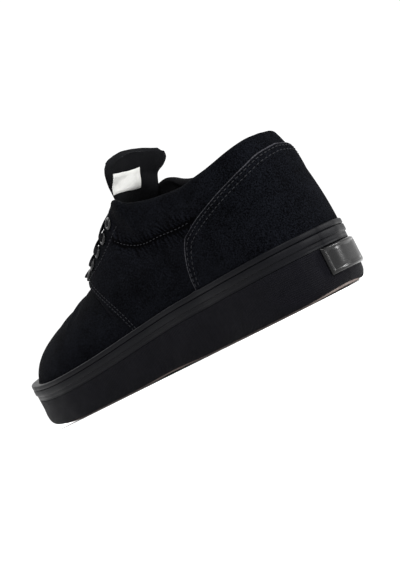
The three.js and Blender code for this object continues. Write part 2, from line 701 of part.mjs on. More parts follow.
// Eyelets: evenly spaced along each edge of the throat
const throatTurn = (x) => solve((turn) => topPoint(turn)[0], x, turnOf(PAD_END_AT), Math.PI);
const EYELET_BACK = 0.456;
const EYELET_FRONT = 0.618;

function eyeletPlace(side, index) {
  const x = LENGTH * mix(EYELET_FRONT, EYELET_BACK, index / (EYELET_PAIRS - 1));
  const turn = throatTurn(x);
  const run = add(lastPoint(turn, 1), scale(lastPoint(turn, 0.9), -1));
  const rise = 1 - 0.1 * EYELET_INSET / Math.hypot(...run);
  const folded = side > 0 ? turn : 2 * Math.PI - turn;
  return { x, centre: offFace(folded, rise, 0), normal: lastNormal(folded, rise) };
}

// Turns a lathed solid, whose axis is Y, so that it stands on the wall at a place
function standOn(geometry, { centre, normal }) {
  const placed = geometry.clone();
  const upright = new THREE.Vector3(0, 1, 0);
  placed.applyQuaternion(new THREE.Quaternion().setFromUnitVectors(upright, new THREE.Vector3(...normal)));
  placed.translate(...centre);
  return placed;
}

function lathed(profile, segments) {
  const points = profile.map(([radius, height]) => new THREE.Vector2(radius, height));
  const geometry = new THREE.LatheGeometry(points, segments);
  geometry.deleteAttribute('normal');
  geometry.deleteAttribute('uv');
  return welded(geometry);
}

const EYELET_SIDES = 8;
const eyeletHole = lathed([
  [0, -3 * UPPER_WALL],
  [EYELET_BORE + EYELET_BARREL + CLEARANCE, -3 * UPPER_WALL],
  [EYELET_BORE + EYELET_BARREL + CLEARANCE, 3 * UPPER_WALL],
  [0, 3 * UPPER_WALL],
], EYELET_SIDES);
const eyeletRing = lathed([
  [EYELET_BORE, -UPPER_WALL],
  [EYELET_BORE + EYELET_BARREL, -UPPER_WALL],
  [EYELET_BORE + EYELET_BARREL, EYELET_SEAT],
  [EYELET_FLANGE, EYELET_SEAT],
  [EYELET_BORE, EYELET_SEAT + EYELET_FLANGE_HEIGHT],
  [EYELET_BORE, -UPPER_WALL],
], EYELET_SIDES);

const eyeletPlaces = [];
for (const side of [1, -1]) {
  for (let index = 0; index < EYELET_PAIRS; index += 1) {
    eyeletPlaces.push({ side, index, ...eyeletPlace(side, index) });
  }
}

function upper() {
  return fromManifold(eyeletPlaces.reduce(
    (solid, place) => solid.subtract(toManifold(standOn(eyeletHole, place))),
    toManifold(upperShell()),
  ));
}
addPart('upper', upper(), SUEDE_BLACK, 0.95);
for (const place of eyeletPlaces) {
  const sideName = place.side > 0 ? 'lateral' : 'medial';
  addPart(`eyelet_${sideName}_${place.index + 1}`, standOn(eyeletRing, place), EYELET_BLACK, 0.35, 0.8);
}

// Heel counter: a suede overlay around the heel, standing on the foxing
const COUNTER_COLUMNS = 9;
const COUNTER_ROWS = 5;

function counterPoint(side, forward, upward, distance) {
  const foot = foxingTopAt(0) + FITTED_GAP;
  const z = mix(foot, follow(COUNTER_TOP, 'forward', 'height', forward) * HEEL_HEIGHT, upward);
  const frontX = LENGTH * follow(COUNTER_FRONT, 'height', 'at', z / HEEL_HEIGHT);
  const turn = side * forward * frontTurn(frontX, z);
  return offFace(turn, riseAt(turn, z), distance);
}

function heelCounter() {
  const grid = (distance) => {
    const rows = [];
    for (let row = 0; row <= COUNTER_ROWS; row += 1) {
      const points = [];
      for (let index = -COUNTER_COLUMNS; index <= COUNTER_COLUMNS; index += 1) {
        const forward = Math.abs(index) / COUNTER_COLUMNS;
        points.push(counterPoint(Math.sign(index) || 1, forward, row / COUNTER_ROWS, distance));
      }
      rows.push(points);
    }
    return rows;
  };
  return sheet(grid(FITTED_GAP + COUNTER_THICKNESS), grid(FITTED_GAP));
}
addPart('heel_counter', heelCounter(), SUEDE_BLACK, 0.95);

// Tongue: under the vamp and the throat it follows the lining, above the throat it stands free
const TONGUE_STATIONS = [
  { reach: 0.700, half: 0.62, gap: 0.20 },
  { reach: 0.675, half: 0.72, gap: 0.43 },
  { reach: 0.650, half: 0.76, gap: 0.80 },
  { reach: 0.625, half: 0.80, gap: 0.74 },
  { reach: 0.590, half: 0.84, gap: 0.44 },
  { reach: 0.540, half: 0.86, gap: 0.33 },
  { reach: 0.490, half: 0.86, gap: 0.30 },
  { reach: 0.430, half: 0.80, gap: 0.23 },
];
const TONGUE_TOP = [
  { climb: 0.28, reach: 0.419, half: 0.78, arch: 0.060, wrap: 0.010 },
  { climb: 0.52, reach: 0.410, half: 0.90, arch: 0.072, wrap: 0.016 },
  { climb: 0.78, reach: 0.402, half: 0.97, arch: 0.078, wrap: 0.020 },
  { climb: 0.94, reach: 0.398, half: 0.94, arch: 0.072, wrap: 0.020 },
  { climb: 1.00, reach: 0.396, half: 0.84, arch: 0.058, wrap: 0.018 },
];
const ACROSS = [-1, -0.75, -0.5, -0.25, 0, 0.25, 0.5, 0.75, 1];

// The place on the wall of one side that lies this far below its top edge
function belowEdge(turn, side, distance) {
  const folded = side > 0 ? turn : 2 * Math.PI - turn;
  const run = add(lastPoint(folded, 1), scale(lastPoint(folded, 0.9), -1));
  return [folded, 1 - 0.1 * distance / Math.hypot(...run)];
}

function throatArch(turn) {
  const shoulder = column(turn, 'shoulder') * BALL_WIDTH;
  const drop = column(turn, 'drop') * HEEL_HEIGHT;
  return column(turn, 'half') * BALL_WIDTH * drop / shoulder / 2;
}

function tongueRow({ reach, half, gap }) {
  const turn = throatTurn(reach * LENGTH);
  const opening = isClosed(turn) ? 0 : column(turn, 'half') * BALL_WIDTH;
  return ACROSS.map((across) => {
    const distance = Math.abs(across) * half * TONGUE_HALF_WIDTH;
    const tucked = (side, below) => offLining(...belowEdge(turn, side, below), -gap * TONGUE_THICKNESS);
    if (distance >= opening) return tucked(across < 0 ? -1 : 1, distance - opening);
    const share = across * half * TONGUE_HALF_WIDTH / opening;
    const [medial, lateral] = [tucked(-1, 0), tucked(1, 0)];
    const chord = medial.map((value, axis) => mix(value, lateral[axis], (1 + share) / 2));
    return add(chord, [0, 0, throatArch(turn) * (1 - share ** 2)]);
  });
}

function freeTongueRow({ climb, reach, half, arch, wrap }, throatHeight) {
  return ACROSS.map((across) => [
    (reach - wrap * across ** 2) * LENGTH,
    across * half * TONGUE_HALF_WIDTH,
    mix(throatHeight, TONGUE_HEIGHT, climb) - arch * BALL_WIDTH * across ** 2,
  ]);
}

function tongueFace() {
  const tucked = TONGUE_STATIONS.map(tongueRow);
  const throatHeight = tucked[tucked.length - 1][ACROSS.indexOf(0)][2];
  return [...tucked, ...TONGUE_TOP.map((row) => freeTongueRow(row, throatHeight))];
}

// The direction out of the tongue's face, away from the foot, at one of its points
function gridNormal(grid, row, index) {
  const rowBefore = grid[Math.max(0, row - 1)][index];
  const rowAfter = grid[Math.min(grid.length - 1, row + 1)][index];
  const left = grid[row][Math.max(0, index - 1)];
  const right = grid[row][Math.min(grid[row].length - 1, index + 1)];
  return unit(cross(add(right, scale(left, -1)), add(rowAfter, scale(rowBefore, -1))));
}

function tongueBack(face, extra) {
  return face.map((points, row) => points.map((point, index) => {
    const edgeShare = Math.abs(ACROSS[index]) ** 3;
    const endShare = row === 0 || row === face.length - 1 ? 0.45 : 1;
    const thickness = TONGUE_THICKNESS * mix(1, 0.5, edgeShare) * endShare + extra;
    return add(point, scale(gridNormal(face, row, index), -thickness));
  }));
}

const tongueGrid = tongueFace();
addPart('tongue', sheet(tongueGrid, tongueBack(tongueGrid, 0)), '#17181b', 0.9);

// Tongue label: a plain pale woven tab on the tongue's inner face
const LABEL_CENTRE_Y = 7;
const LABEL_CLIMB = 0.15;

function tongueLabel() {
  const back = (extra) => {
    const grid = tongueBack(tongueGrid, extra);
    const rows = [0, 0.5, 1].map((share) => {
      const z = mix(grid[TONGUE_STATIONS.length - 1][ACROSS.indexOf(0)][2], TONGUE_HEIGHT, LABEL_CLIMB)
        + LABEL_HEIGHT * (share - 0.5);
      return [0, 0.34, 0.67, 1].map((across) => {
        const y = LABEL_CENTRE_Y + LABEL_WIDTH * (across - 0.5);
        return gridPointAt(grid, y, z);
      });
    });
    return rows;
  };
  return sheet(back(FITTED_GAP), back(FITTED_GAP + LABEL_THICKNESS));
}

// The point of the tongue's free part with this Y and Z
function gridPointAt(grid, y, z) {
  const crossings = grid.slice(TONGUE_STATIONS.length - 1).map((points) => {
    let index = 0;
    while (index < points.length - 2 && points[index + 1][1] < y) index += 1;
    const share = (y - points[index][1]) / (points[index + 1][1] - points[index][1]);
    return points[index].map((value, axis) => mix(value, points[index + 1][axis], share));
  });
  let level = 0;
  while (level < crossings.length - 2 && crossings[level + 1][2] < z) level += 1;
  const share = (z - crossings[level][2]) / (crossings[level + 1][2] - crossings[level][2]);
  return crossings[level].map((value, axis) => mix(value, crossings[level + 1][axis], share));
}
addPart('tongue_label', tongueLabel(), '#c9c8c4', 0.85);

// Laces: flat crossed straps over the throat, joined above the eyelets
const LACE_SEAT = EYELET_SEAT + EYELET_FLANGE_HEIGHT + CLEARANCE + LACE_THICKNESS;
const LACE_ENDS = 0.62;
const LACE_STEPS = [-1, -0.72, -0.36, 0.36, 0.72, 1];

// A point of the path from an eyelet (share -1) to one on the other side (share 1)
function lacePoint(from, to, share, over) {
  const turn = throatTurn(mix(from.x, to.x, (1 + share) / 2));
  const opening = column(turn, 'half') * BALL_WIDTH;
  const distance = Math.abs(share) * (opening + EYELET_INSET);
  const side = share < 0 ? from.side : to.side;
  if (distance >= opening) return offFace(...belowEdge(turn, side, distance - opening), LACE_SEAT + over);
  const near = offFace(...belowEdge(turn, side, 0), LACE_SEAT + over);
  const far = offFace(...belowEdge(turn, -side, 0), LACE_SEAT + over);
  const across = distance / opening;
  const chord = near.map((value, axis) => mix(value, far[axis], (1 - across) / 2));
  return add(chord, [0, 0, throatArch(turn) * (1 - across ** 2)]);
}

function laceStrap(from, to) {
  const small = 0.04;
  return barThrough(LACE_STEPS.map((share) => {
    const centre = lacePoint(from, to, share, 0);
    const [ahead, behind] = [Math.min(1, share + small), Math.max(-1, share - small)];
    const along = add(lacePoint(from, to, ahead, 0), scale(lacePoint(from, to, behind, 0), -1));
    const upward = add(lacePoint(from, to, share, 1), scale(centre, -1));
    const sideways = unit(cross(along, upward));
    const normal = unit(cross(sideways, along));
    const halfLace = (LACE_WIDTH / 2) * (Math.abs(share) === 1 ? LACE_ENDS : 1);
    const corner = (across, over) => add(centre, add(
      scale(sideways, across * halfLace),
      scale(normal, over * LACE_THICKNESS / 2),
    ));
    return [corner(-1, -1), corner(1, -1), corner(1, 1), corner(-1, 1)];
  }));
}

function laces() {
  const place = (side, index) => eyeletPlaces.find((item) => item.side === side && item.index === index);
  const straps = [laceStrap(place(1, 0), place(-1, 0))];
  for (let index = 0; index < EYELET_PAIRS - 1; index += 1) {
    straps.push(laceStrap(place(1, index), place(-1, index + 1)));
    straps.push(laceStrap(place(-1, index), place(1, index + 1)));
  }
  return fromManifold(straps.map(toManifold).reduce((all, strap) => all.add(strap)));
}
addPart('laces', laces(), '#1a1b1d', 0.9);

// Insole: a foam footbed with a raised edge, standing on the midsole's floor
const DISH_BACK = 0.12;
const DISH_FRONT = 0.84;
const DISH_SHARE = 0.8;

function insoleEdge(lift) {
  return TURNS.map((turn) => {
    const z = bedAt(edge(turn, SIDEWALL_THICKNESS)[0]) + lift;
    const [x, y] = offLining(turn, riseAt(turn, z), -FITTED_GAP);
    return [x, y, z];
  });
}

function insole() {
  const top = CLEARANCE + INSOLE_THICKNESS;
  const dish = insoleEdge(CLEARANCE).map(([x, y]) => {
    const centreX = mix(LENGTH * DISH_BACK, LENGTH * DISH_FRONT, clamp(x / LENGTH));
    const dishX = mix(centreX, x, DISH_SHARE);
    return [dishX, y * DISH_SHARE, bedAt(dishX) + top - INSOLE_DISH];
  });
  return ringLoft([insoleEdge(CLEARANCE), insoleEdge(top), dish]);
}
addPart('insole', insole(), '#1c1d20', 0.9);

// Heel tab: a plain glossy rubber label bent around the heel's back and its inner side
const TAB_SECTIONS = 8;
const TAB_ROUND = 1.2;

function heelTab() {
  const turnAtY = (y) => solve((turn) => outline(turn)[1], y, -turnOf(0.08), turnOf(0.08));
  const [from, to] = [turnAtY(TAB_INNER_Y), turnAtY(TAB_OUTER_Y)];
  const top = midsoleTopAt(0) - CLEARANCE;
  const bottom = top - TAB_HEIGHT;
  const [near, middle, far] = [CLEARANCE, CLEARANCE + TAB_THICKNESS * 0.6, CLEARANCE + TAB_THICKNESS];
  const sections = [];
  for (let index = 0; index <= TAB_SECTIONS; index += 1) {
    const turn = mix(from, to, index / TAB_SECTIONS);
    const point = (out, z) => [...edge(turn, -out), z];
    sections.push([
      point(near, bottom),
      point(near, top),
      point(middle, top),
      point(far, top - TAB_ROUND),
      point(far, bottom + TAB_ROUND),
      point(middle, bottom),
    ]);
  }
  return barThrough(sections);
}
addPart('heel_tab', heelTab(), '#0e0e10', 0.2);

const box = new THREE.Box3().setFromObject(shoe);
const middle = box.getCenter(new THREE.Vector3());
shoe.position.set(-middle.x, -middle.y, -box.min.z);

export default shoe;
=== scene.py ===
# %% [markdown]
# This lesson dresses the solids of a left skateboarding shoe: black suede, a black rubber
# sidewall and a taupe waffle sole. The solids give the true shape of the last. Each visible
# piece is made again here from the same sizes, with a finer mesh, seams, stitches and folds.

# %% Load the frame
import math

import bmesh
import bpy
import numpy as np
from mathutils import Matrix, Vector
from mathutils.bvhtree import BVHTree


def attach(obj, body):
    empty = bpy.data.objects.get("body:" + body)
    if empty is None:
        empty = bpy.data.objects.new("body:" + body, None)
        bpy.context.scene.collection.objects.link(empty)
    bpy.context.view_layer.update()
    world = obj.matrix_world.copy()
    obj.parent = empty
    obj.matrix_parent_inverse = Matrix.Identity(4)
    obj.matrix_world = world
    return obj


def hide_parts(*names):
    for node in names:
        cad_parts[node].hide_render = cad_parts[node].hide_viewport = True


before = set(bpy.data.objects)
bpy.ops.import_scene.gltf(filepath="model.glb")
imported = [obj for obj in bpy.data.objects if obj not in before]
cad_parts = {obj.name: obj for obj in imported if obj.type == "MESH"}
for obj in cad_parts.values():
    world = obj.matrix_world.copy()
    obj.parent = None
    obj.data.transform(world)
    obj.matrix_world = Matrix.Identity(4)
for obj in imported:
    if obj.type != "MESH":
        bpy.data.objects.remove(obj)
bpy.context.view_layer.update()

# %% [markdown]
# The camera comes first, because every look at the work goes through it. The photograph was
# taken low behind the heel, on the outer side, about 0.6 m away, with the camera rolled. The
# shoe here stands on the floor, so the camera keeps the bearing and the roll, stays just above
# the floor, and takes in the whole shoe.

# %% Camera
BEARING = math.radians(-43.4)
CLIMB = math.radians(3.0)
ROLL = math.radians(26.9)
CAMERA_DISTANCE = 0.69
FOCUS_POINT = Vector((-0.0286, -0.009, 0.0424))
LONG_SIDE_PIXELS = 570
FOCAL_PIXELS = 1080

forward = Vector((math.cos(BEARING) * math.cos(CLIMB), math.sin(BEARING) * math.cos(CLIMB), math.sin(CLIMB)))
level_right = forward.cross(Vector((0, 0, 1))).normalized()
level_up = level_right.cross(forward)
camera_right = level_right * math.cos(ROLL) - level_up * math.sin(ROLL)
camera_up = level_up * math.cos(ROLL) + level_right * math.sin(ROLL)
camera = bpy.data.objects.new("camera", bpy.data.cameras.new("camera"))
camera.data.lens = FOCAL_PIXELS * camera.data.sensor_width / LONG_SIDE_PIXELS
camera.data.clip_start = 0.01
place = FOCUS_POINT - forward * CAMERA_DISTANCE
camera.matrix_world = Matrix((
    (camera_right.x, camera_up.x, -forward.x, place.x),
    (camera_right.y, camera_up.y, -forward.y, place.y),
    (camera_right.z, camera_up.z, -forward.z, place.z),
    (0, 0, 0, 1),
))
bpy.context.scene.collection.objects.link(camera)
bpy.context.scene.camera = camera
print("camera", [round(value, 3) for value in place], "lens", round(camera.data.lens, 1))

# %% [markdown]
# A shoe is lasted: every piece of its upper is pulled over one form. So the form is written
# once, as sections that run from the sole's edge up to the collar or to the vamp's ridge, and
# the pieces ask it for points. Sizes are in millimetres from the heel's back, and the tables
# hold shares of the main sizes.

# %% Main sizes
LENGTH = 298.0
HEEL_WIDTH = 74.0
BALL_WIDTH = 103.0
HEEL_HEIGHT = 100.0
INSTEP_HEIGHT = 113.0
MEDIAL_RISE = 3.0
TONGUE_HEIGHT = 140.0
HEEL_SIDEWALL = 37.0
FOREFOOT_SIDEWALL = 31.5
SIDEWALL_THICKNESS = 3.0
SIDEWALL_LIFT = 0.8
FOXING_HEIGHT = 11.5
HEEL_BED = 21.0
FOREFOOT_BED = 14.0
TOE_SPRING = 10.0
HEEL_BEVEL = 2.5
ARCH_RISE = 1.0
OUTSOLE_THICKNESS = 5.0
OUTSOLE_MARGIN = 5.0
UPPER_WALL = 2.4
QUARTER_STEP = 1.1
COLLAR_PAD = 5.6
COLLAR_PUFF = 1.4
COUNTER_THICKNESS = 1.4
INSOLE_THICKNESS = 4.2
TONGUE_THICKNESS = 6.0
TONGUE_HALF_WIDTH = 28.0
CLEARANCE = 0.3
FITTED_GAP = 0.6
SHIFT = np.array([-148.48, -0.135, 0.0])
SMALL_TURN = 0.004

OUTLINE = np.array([
    (0.00, 1.00, 0.000, -0.006),
    (0.10, 1.00, 0.000, -0.010),
    (0.17, 1.00, 0.000, 0.003),
    (0.25, 0.96, 0.000, 0.008),
    (0.34, 0.70, 0.190, 0.025),
    (0.42, 0.50, 0.340, 0.033),
    (0.50, 0.25, 0.575, 0.040),
    (0.59, 0.08, 0.785, 0.036),
    (0.67, 0.00, 0.940, 0.023),
    (0.75, 0.00, 1.000, 0.004),
    (0.88, 0.00, 1.000, -0.030),
    (1.00, 0.00, 1.000, -0.062),
])
SECTION_NAMES = ("at", "reach", "half", "heel", "instep", "ridge", "rise", "swell", "shoulder", "drop", "pad")
SECTIONS = np.array([
    (0.000, 0.037, 0.000, 1.000, 0.000, -0.004, 0.34, 0.030, 0.055, 0.26, 1.0),
    (0.008, 0.042, 0.088, 0.998, 0.000, -0.004, 0.34, 0.029, 0.054, 0.26, 1.0),
    (0.030, 0.055, 0.156, 0.990, 0.000, -0.004, 0.34, 0.026, 0.052, 0.26, 1.0),
    (0.070, 0.082, 0.218, 0.974, 0.000, -0.004, 0.34, 0.020, 0.046, 0.25, 1.0),
    (0.110, 0.125, 0.252, 0.956, 0.000, 0.000, 0.34, 0.012, 0.040, 0.24, 1.0),
    (0.150, 0.182, 0.268, 0.948, 0.000, 0.002, 0.34, 0.008, 0.040, 0.24, 1.0),
    (0.190, 0.250, 0.274, 0.630, 0.303, 0.002, 0.34, 0.006, 0.044, 0.22, 1.0),
    (0.230, 0.318, 0.276, 0.300, 0.638, 0.000, 0.35, 0.006, 0.052, 0.20, 0.95),
    (0.268, 0.376, 0.268, 0.000, 0.965, -0.004, 0.36, 0.008, 0.066, 0.17, 0.7),
    (0.292, 0.406, 0.236, 0.000, 1.000, -0.006, 0.37, 0.010, 0.085, 0.14, 0.3),
    (0.318, 0.434, 0.200, 0.000, 0.982, -0.008, 0.38, 0.012, 0.105, 0.12, 0.0),
    (0.363, 0.496, 0.180, 0.000, 0.898, -0.010, 0.40, 0.014, 0.135, 0.09, 0.0),
    (0.406, 0.556, 0.160, 0.000, 0.819, -0.012, 0.42, 0.016, 0.165, 0.065, 0.0),
    (0.446, 0.607, 0.130, 0.000, 0.757, -0.014, 0.45, 0.026, 0.205, 0.040, 0.0),
    (0.477, 0.644, 0.080, 0.000, 0.712, -0.015, 0.48, 0.032, 0.235, 0.015, 0.0),
    (0.497, 0.661, 0.000, 0.000, 0.700, -0.016, 0.50, 0.036, 0.250, 0.000, 0.0),
    (0.564, 0.692, 0.000, 0.000, 0.676, -0.018, 0.54, 0.044, 0.275, 0.000, 0.0),
    (0.650, 0.735, 0.000, 0.000, 0.645, -0.024, 0.56, 0.048, 0.290, 0.000, 0.0),
    (0.740, 0.782, 0.000, 0.000, 0.617, -0.034, 0.58, 0.048, 0.290, 0.000, 0.0),
    (0.830, 0.829, 0.000, 0.000, 0.592, -0.044, 0.60, 0.044, 0.270, 0.000, 0.0),
    (0.900, 0.866, 0.000, 0.000, 0.573, -0.052, 0.60, 0.038, 0.240, 0.000, 0.0),
    (0.960, 0.893, 0.000, 0.000, 0.558, -0.058, 0.60, 0.032, 0.210, 0.000, 0.0),
    (1.000, 0.905, 0.000, 0.000, 0.550, -0.062, 0.60, 0.028, 0.190, 0.000, 0.0),
])
THROAT_FRONT_AT = 0.497
SEAM_AT = 0.470
PAD_START = 0.62
PAD_RAMP = 0.2
PAD_END_AT = 0.28
print("sections", len(SECTIONS))

# %% [markdown]
# A table row is one section; between rows the form follows a smooth curve that never swings
# past them. numpy works on whole grids of points at once, which is what makes a fine mesh
# quick to build.

# %% Curves through tables
def clamp(value):
    return np.clip(value, 0.0, 1.0)


def mix(start, end, share):
    return start + (end - start) * share


def ease(value):
    return clamp(value) ** 2 * (3 - 2 * clamp(value))


def bell(distance, width):
    return np.exp(-(distance / width) ** 2)


def follow(keys, values, at):
    step = np.diff(values) / np.diff(keys)
    slope = np.concatenate([step[:1], step[1:], step[-1:]])
    product = step[:-1] * step[1:]
    total = np.where(product > 0, step[:-1] + step[1:], 1.0)
    slope[1:-1] = np.where(product > 0, 2 * product / total, 0.0)
    at = np.clip(at, keys[0], keys[-1])
    index = np.clip(np.searchsorted(keys, at, side="right") - 1, 0, len(keys) - 2)
    width = keys[index + 1] - keys[index]
    t = (at - keys[index]) / width
    start = values[index] * (2 * t**3 - 3 * t**2 + 1) + slope[index] * width * (t**3 - 2 * t**2 + t)
    return start + values[index + 1] * (3 * t**2 - 2 * t**3) + slope[index + 1] * width * (t**3 - t**2)


def unit(vector):
    return vector / (np.linalg.norm(vector, axis=-1, keepdims=True) + 1e-12)


def stack(*parts):
    return np.stack(np.broadcast_arrays(*parts), axis=-1)


print("halfway", round(float(follow(OUTLINE[:, 0], OUTLINE[:, 1], 0.5)), 3))

# %% The last
def turn_of(at):
    return np.arccos(1 - 2 * clamp(at))


def share_at(turn):
    return (1 - np.cos(turn)) / 2


def side_of(turn):
    return np.where(np.sin(turn) >= 0, 1.0, -1.0)


def fold(turn):
    return np.arccos(np.clip(np.cos(turn), -1, 1))


def round_end(distance, reach, power):
    return (1 - clamp(1 - distance / reach) ** power) ** (1 / power)


def half_width(at):
    heel = follow(OUTLINE[:, 0], OUTLINE[:, 1], at) * HEEL_WIDTH / 2
    ball = follow(OUTLINE[:, 0], OUTLINE[:, 2], at) * BALL_WIDTH / 2
    return (heel + ball) * round_end(at, 0.125, 2.1) * round_end(1 - at, 0.235, 2.2)


def outline(turn):
    at = share_at(turn)
    centre = follow(OUTLINE[:, 0], OUTLINE[:, 3], at) * BALL_WIDTH
    return stack(at * LENGTH, centre + side_of(turn) * half_width(at))


def outward(turn):
    run = unit(outline(turn + SMALL_TURN) - outline(turn - SMALL_TURN))
    return stack(-run[..., 1], run[..., 0])


def edge(turn, inset):
    return outline(turn) - outward(turn) * inset


def spring_at(x):
    return TOE_SPRING * clamp((x / LENGTH - 0.71) / 0.29) ** 2


def ground_at(x):
    share = x / LENGTH
    arch = ARCH_RISE * np.sin(np.pi * clamp((share - 0.30) / 0.26)) ** 2
    return HEEL_BEVEL * clamp(1 - share / 0.055) ** 2 + arch + spring_at(x)


def forefoot_share(x):
    return ease((x / LENGTH - 0.3) / 0.4)


def bed_at(x):
    return spring_at(x) + mix(HEEL_BED, FOREFOOT_BED, forefoot_share(x))


def foxing_top_at(x):
    return spring_at(x) + mix(HEEL_SIDEWALL, FOREFOOT_SIDEWALL, forefoot_share(x))


def column(turn, name):
    return follow(turn_of(SECTIONS[:, 0]), SECTIONS[:, SECTION_NAMES.index(name)], fold(turn))


def top_point(turn):
    side = side_of(turn)
    half = column(turn, "half") * BALL_WIDTH
    height = column(turn, "heel") * HEEL_HEIGHT + column(turn, "instep") * INSTEP_HEIGHT
    medial = np.where(side < 0, MEDIAL_RISE * ease(half / (0.2 * BALL_WIDTH)) * np.abs(np.sin(turn)), 0.0)
    across = column(turn, "ridge") * BALL_WIDTH + side * half
    return stack(column(turn, "reach") * LENGTH, across, height + medial)


def ridge_slope(turn):
    folded = np.clip(fold(turn), 1.0, np.pi - 2 * SMALL_TURN)
    run = top_point(folded + SMALL_TURN) - top_point(folded - SMALL_TURN)
    return run[..., 2] / run[..., 0]


def is_closed(turn):
    return fold(turn) >= turn_of(THROAT_FRONT_AT) - 1e-6


def last_point(turn, rise):
    out = outward(turn)
    out = stack(out[..., 0], out[..., 1], 0.0)
    foot = edge(turn, SIDEWALL_THICKNESS + CLEARANCE + QUARTER_STEP)
    foot = stack(foot[..., 0], foot[..., 1], bed_at(foot[..., 0]) + CLEARANCE)
    top = top_point(turn)
    shoulder = (column(turn, "shoulder") * BALL_WIDTH)[..., None]
    climb = np.where(is_closed(turn), ridge_slope(turn) * out[..., 0] * shoulder[..., 0], 0.0)
    lift = column(turn, "rise") * (top[..., 2] - foot[..., 2])
    low = foot + out * (column(turn, "swell") * BALL_WIDTH)[..., None] + stack(0.0, 0.0, lift)
    high = top + out * shoulder + stack(0.0, 0.0, climb - column(turn, "drop") * HEEL_HEIGHT)
    t = np.asarray(rise, float)[..., None]
    rest = 1 - t
    return foot * rest**3 + low * (3 * rest**2 * t) + high * (3 * rest * t**2) + top * t**3


def last_normal(turn, rise):
    up = last_point(turn, np.minimum(rise + 0.01, 1.0)) - last_point(turn, np.maximum(rise - 0.01, 0.0))
    along = last_point(turn + SMALL_TURN, rise) - last_point(turn - SMALL_TURN, rise)
    slope = ridge_slope(turn)
    ridge = unit(stack(-slope, 0.0, 1.0))
    on_ridge = (is_closed(turn) & (np.asarray(rise) > 1 - 1e-6))[..., None]
    return np.where(on_ridge, ridge, unit(np.cross(up, along)))


def wall_depth(turn, rise):
    return UPPER_WALL + COLLAR_PAD * column(turn, "pad") * ease((rise - PAD_START) / PAD_RAMP)


def face_offset(turn, rise):
    ramp_end = turn_of(SEAM_AT + 0.5 / LENGTH)
    behind = ease((ramp_end - fold(turn)) / (ramp_end - turn_of(SEAM_AT)))
    puff = COLLAR_PUFF * column(turn, "pad") * np.sin(np.pi * clamp((rise - PAD_START) / (1 - PAD_START)))
    return QUARTER_STEP * behind + puff


def off_face(turn, rise, distance):
    return last_point(turn, rise) + last_normal(turn, rise) * (face_offset(turn, rise) + distance)[..., None]


def off_lining(turn, rise, distance):
    return off_face(turn, rise, distance - wall_depth(turn, rise))


def solve(rising, target, low, high):
    low, high = np.zeros_like(target) + low, np.zeros_like(target) + high
    for _ in range(26):
        middle = (low + high) / 2
        below = rising(middle) < target
        low, high = np.where(below, middle, low), np.where(below, high, middle)
    return (low + high) / 2


def rise_at(turn, z):
    return solve(lambda rise: last_point(turn, rise)[..., 2], z, 0.0, 1.0)


def wall_turn(x, z):
    """The turn on the outer side where the wall has this x at this height."""
    return solve(lambda turn: last_point(turn, rise_at(turn, z))[..., 0], x, 0.0, turn_of(THROAT_FRONT_AT))


print("collar at the heel", np.round(top_point(np.array([0.0])), 1).tolist())

# %% [markdown]
# A mesh is a list of points and a list of faces. Most pieces of a shoe are grids that wrap
# around the foot, so one helper turns a grid into faces and another makes the object, welds
# equal points, points the faces outwards and lets the piece ride with the shoe.

# %% Mesh helpers
def grid_faces(rows, columns, wrap_rows=False, wrap_columns=False, start=0):
    row = np.arange(rows if wrap_rows else rows - 1)[:, None]
    across = np.arange(columns if wrap_columns else columns - 1)[None, :]
    next_row, next_across = (row + 1) % rows, (across + 1) % columns
    corners = [row * columns + across, row * columns + next_across,
               next_row * columns + next_across, next_row * columns + across]
    return np.stack(np.broadcast_arrays(*corners), axis=-1).reshape(-1, 4) + start


def border_of(rows, wide):
    """The numbers of a grid's outermost points, in order around it."""
    return np.concatenate([
        np.arange(wide), np.arange(1, rows) * wide + wide - 1,
        (rows - 1) * wide + np.arange(wide - 2, -1, -1), np.arange(rows - 2, 0, -1) * wide,
    ])


def sheet_faces(rows, wide):
    """Faces of a sheet: a grid, a second grid behind it, and the rim between them."""
    border, size = border_of(rows, wide), rows * wide
    after = np.roll(border, -1)
    rim = np.stack([border, after, after + size, border + size], axis=1)
    return np.vstack([grid_faces(rows, wide), grid_faces(rows, wide, start=size), rim])


def add_tube(rings, points, faces):
    """Adds a tube of equal rings, capped at both ends, to lists of points and faces."""
    count, sides = rings.shape[:2]
    base = sum(map(len, points))
    points.append(rings.reshape(-1, 3))
    faces.extend(grid_faces(count, sides, False, True, start=base).tolist())
    faces.append([base + index for index in range(sides)])
    faces.append([base + (count - 1) * sides + index for index in range(sides - 1, -1, -1)])


